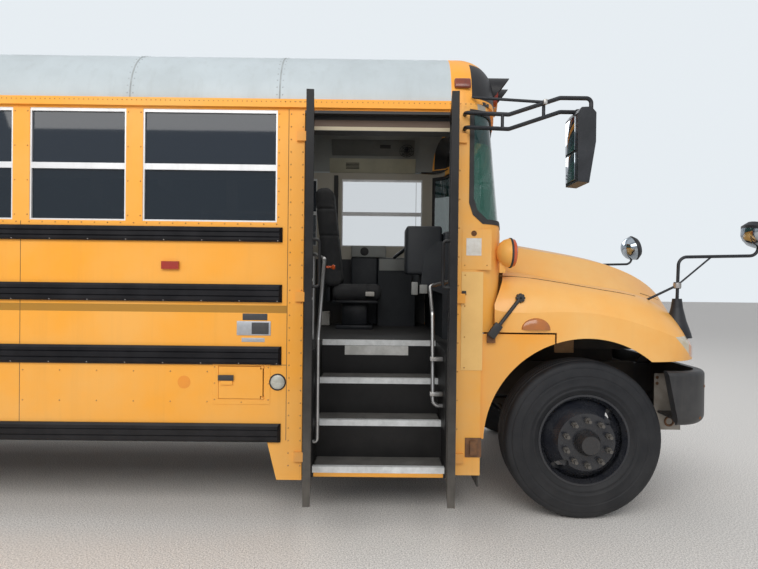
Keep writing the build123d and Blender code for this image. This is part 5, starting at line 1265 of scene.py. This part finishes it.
add_turned(belt, [(0, 0.005), (0.036, 0.005), (0.042, 0.001)], (axle_x - 1.480, 0.869, 1.828), (0, -1, 0), 28)
piece("seat_belt_and_speaker", belt, dark_rubber)
plate_piece(
    "control_boxes",
    lining_grey,
    [
        (-1.085, -1.035, -0.381, -0.410, 1.430, 1.530, 0.006),
        (-1.022, -0.960, -0.381, -0.405, 1.440, 1.510, 0.006),
    ],
)
plate_piece(
    "white_boxes",
    white_label,
    [
        (-1.455, -1.375, 0.366, 0.344, 1.395, 1.435, 0.005),
        (-1.930, -1.820, 0.860, 1.000, 1.084, 1.220, 0.012),
    ],
)
knob = bmesh.new()
knob_line = [(0, 0.030), (0.012, 0.028), (0.019, 0.018), (0.016, 0.008), (0.008, 0.002), (0.008, -0.035)]
add_turned(knob, knob_line, (axle_x - 1.683, -0.745, 1.630), (1, 0, 0), 20)
piece("rail_knob", knob, marker_orange)
clamp_rows = [(-0.992, -0.906, -1.022, -0.978, z - 0.013, z + 0.013, 0.004) for z in (1.015, 0.780)]
plate_piece("rail_clamps", clamp_steel, clamp_rows)


# Driver's seat: sewn dark cloth over foam, a cushion and a high back that narrows upwards,
# pulled in along their seams, on a black steel pedestal with the back's frame behind it.
def cover_block(low, high, edge, taper=0.0):
    """A sewn cover's flat shape: a closed block with rounded edges; taper narrows its top."""
    shape = bmesh.new()
    add_plate(shape, low, high, edge, 4)
    middle_y = (low[1] + high[1]) / 2
    heights = [v.co.z for v in shape.verts]
    bottom, top = min(heights), max(heights)
    for v in shape.verts:
        share = (v.co.z - bottom) / (top - bottom)
        v.co.y = middle_y + (v.co.y - middle_y) * (1 - taper * share * share)
    return shape


def stuffed(rows):
    """Covers from rows of (name, block, voxel, most swell): each closed block is remeshed
    finely, blown up a little as cloth is by its filling, and held to the most swell."""
    frames = 20
    covers = []
    for name, shape, voxel, _ in rows:
        mesh = bpy.data.meshes.new(name)
        bmesh.ops.recalc_face_normals(shape, faces=shape.faces)
        shape.to_mesh(mesh)
        shape.free()
        cover = bpy.data.objects.new(name, mesh)
        scene.collection.objects.link(cover)
        fine = cover.modifiers.new("fine", "REMESH")
        fine.mode = "VOXEL"
        fine.voxel_size = voxel
        remeshed = cover.evaluated_get(bpy.context.evaluated_depsgraph_get())
        cover.modifiers.clear()
        cover.data = bpy.data.meshes.new_from_object(remeshed)
        covers.append(cover)
    for cover in covers:
        cloth = cover.modifiers.new("cloth", "CLOTH")
        cloth.settings.quality = 5
        cloth.settings.mass = 0.3
        cloth.settings.use_pressure = True
        cloth.settings.uniform_pressure_force = 4.0
        cloth.settings.effector_weights.gravity = 0.0
        cloth.point_cache.frame_start = 1
        cloth.point_cache.frame_end = frames
    for number in range(1, frames + 1):
        scene.frame_set(number)
    graph = bpy.context.evaluated_depsgraph_get()
    for cover, (_, _, _, most) in zip(covers, rows):
        swollen = [v.co.copy() for v in cover.evaluated_get(graph).data.vertices]
        cover.modifiers.clear()
        for vertex, new in zip(cover.data.vertices, swollen):
            move = new - vertex.co
            vertex.co += move * (most / move.length) if move.length > most else move
    scene.frame_set(1)
    return covers


def press_seam(mesh, axis, value, width, deep):
    """Pulls a cover in along a sewn line that runs round it at one height or station."""
    centre = sum((v.co for v in mesh.vertices), Vector()) / len(mesh.vertices)
    for v in mesh.vertices:
        away = abs(v.co[axis] - value)
        if away < width:
            inward = centre - v.co
            inward[axis] = 0
            v.co += inward.normalized() * deep * (1 - away / width) ** 2


seat_dx, seat_y = -1.560, 0.610
seat_x = axle_x + seat_dx
seat_half, bench_w = 0.222, 0.905
cushion_low = (seat_x - 0.215, seat_y - seat_half, 1.362)
cushion_high = (seat_x + 0.262, seat_y + seat_half, 1.490)
back_high = (0.075, seat_half, 0.955)
driver_cushion, driver_back, bench_cushion, bench_back = stuffed(
    [
        ("driver_cushion", cover_block(cushion_low, cushion_high, 0.05), 0.008, 0.014),
        ("driver_back", cover_block((-0.070, -seat_half, 0.0), back_high, 0.05, 0.22), 0.009, 0.016),
        ("bench_cushion", cover_block((0.075, 0.0, 0.345), (0.485, bench_w, 0.442), 0.03), 0.022, 0.012),
        ("bench_back", cover_block((-0.055, 0.0, 0.345), (0.040, bench_w, 1.062), 0.03), 0.022, 0.010),
    ]
)
seat_cloth = finish_of(
    "seat_cloth", (0.028, 0.029, 0.032), (0.048, 0.048, 0.050), 0.85, patch=8.0, fade=0.7, dust=0.0,
    grain=420.0, depth=0.0012, grain_strength=0.7,
)
lean = Matrix.Translation((seat_x - 0.195, seat_y, 1.462)) @ Matrix.Rotation(math.radians(-6.5), 4, "Y")
driver_back.data.transform(lean)
press_seam(driver_cushion.data, 0, seat_x + 0.120, 0.018, 0.010)
press_seam(driver_back.data, 2, 1.95, 0.020, 0.010)
press_seam(driver_back.data, 2, 2.20, 0.020, 0.012)
for cover in (driver_cushion, driver_back):
    cover.data.shade_smooth()
    cover.data.materials.append(seat_cloth)
    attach(cover, "chassis")
    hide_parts("driver_seat")
pedestal = plate_piece(
    "seat_pedestal",
    mirror_black,
    [
        (seat_dx - 0.170, seat_dx + 0.170, seat_y - 0.165, seat_y + 0.165, 1.084, 1.120, 0.006),
        (seat_dx - 0.120, seat_dx + 0.120, seat_y - 0.120, seat_y + 0.120, 1.118, 1.330, 0.020),
        (seat_dx - 0.200, seat_dx + 0.220, seat_y - 0.200, seat_y + 0.200, 1.326, 1.352, 0.006),
        (seat_dx - 0.262, seat_dx - 0.225, seat_y - 0.150, seat_y + 0.150, 1.340, 1.900, 0.008),
    ],
)
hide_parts("driver_seat")

# Passenger benches: high-backed seats of dark green-grey vinyl over foam, sewn with a seam
# under the head end, bolted in rows to floor legs and the wall rail.
vinyl = finish_of(
    "bench_vinyl", (0.030, 0.036, 0.034), (0.045, 0.050, 0.048), 0.42, patch=7.0, fade=0.6, dust=0.0,
    grain=300.0, depth=0.0006, grain_strength=0.4,
)
press_seam(bench_back.data, 2, 0.84, 0.03, 0.008)
press_seam(bench_cushion.data, 1, bench_w / 2, 0.025, 0.006)
bench_x, floor_z, aisle_half, bench_count = axle_x - 2.760, 1.084, 0.222, 11
back_lean = Matrix.Rotation(math.radians(-3.0), 4, "Y")
for pattern, name, lean in (
    (bench_cushion, "bench_cushions", Matrix.Identity(4)),
    (bench_back, "bench_backs", back_lean),
):
    benches = bmesh.new()
    for i in range(bench_count):
        for start_y in (aisle_half, -aisle_half - bench_w):
            before = set(benches.verts)
            benches.from_mesh(pattern.data)
            made = [v for v in benches.verts if v not in before]
            at = Matrix.Translation((bench_x - window_pitch * i, start_y, floor_z))
            bmesh.ops.transform(benches, matrix=at @ lean, verts=made)
    bench = piece(name, benches, vinyl, sharp=60.0)
    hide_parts("passenger_seats")
    bpy.data.objects.remove(pattern)

# Stop arm: an eight-sided red blade with a plain white border on both faces, folded back on
# the left wall.
stop_red = finish_of(
    "stop_red", (0.50, 0.012, 0.008), (0.42, 0.04, 0.02), 0.3, patch=9.0, fade=0.4, coat=0.3, dust=0.1
)
wear(stop_red, "stop_arm")
border = bmesh.new()
border_line = [(0.225, -0.001), (0.225, 0.0016), (0.243, 0.0016), (0.243, -0.001)]
for way in (-1, 1):
    place = Vector((axle_x - 1.500, half_w + 0.062 + way * 0.0028, 1.638))
    made = add_turned(border, border_line, place, (0, way, 0), 8)
    flat_up = Matrix.Rotation(math.radians(22.5), 4, "Y")
    about = Matrix.Translation(place) @ flat_up @ Matrix.Translation(-place)
    bmesh.ops.transform(border, matrix=about, verts=made)
piece("stop_border", border, white_label, "stop_arm")

# Crossing arm: a long hoop of bent tube, painted plain yellow and hinged on the front
# bumper, folded along it at rest.
wear(bus_yellow, "crossing_arm")
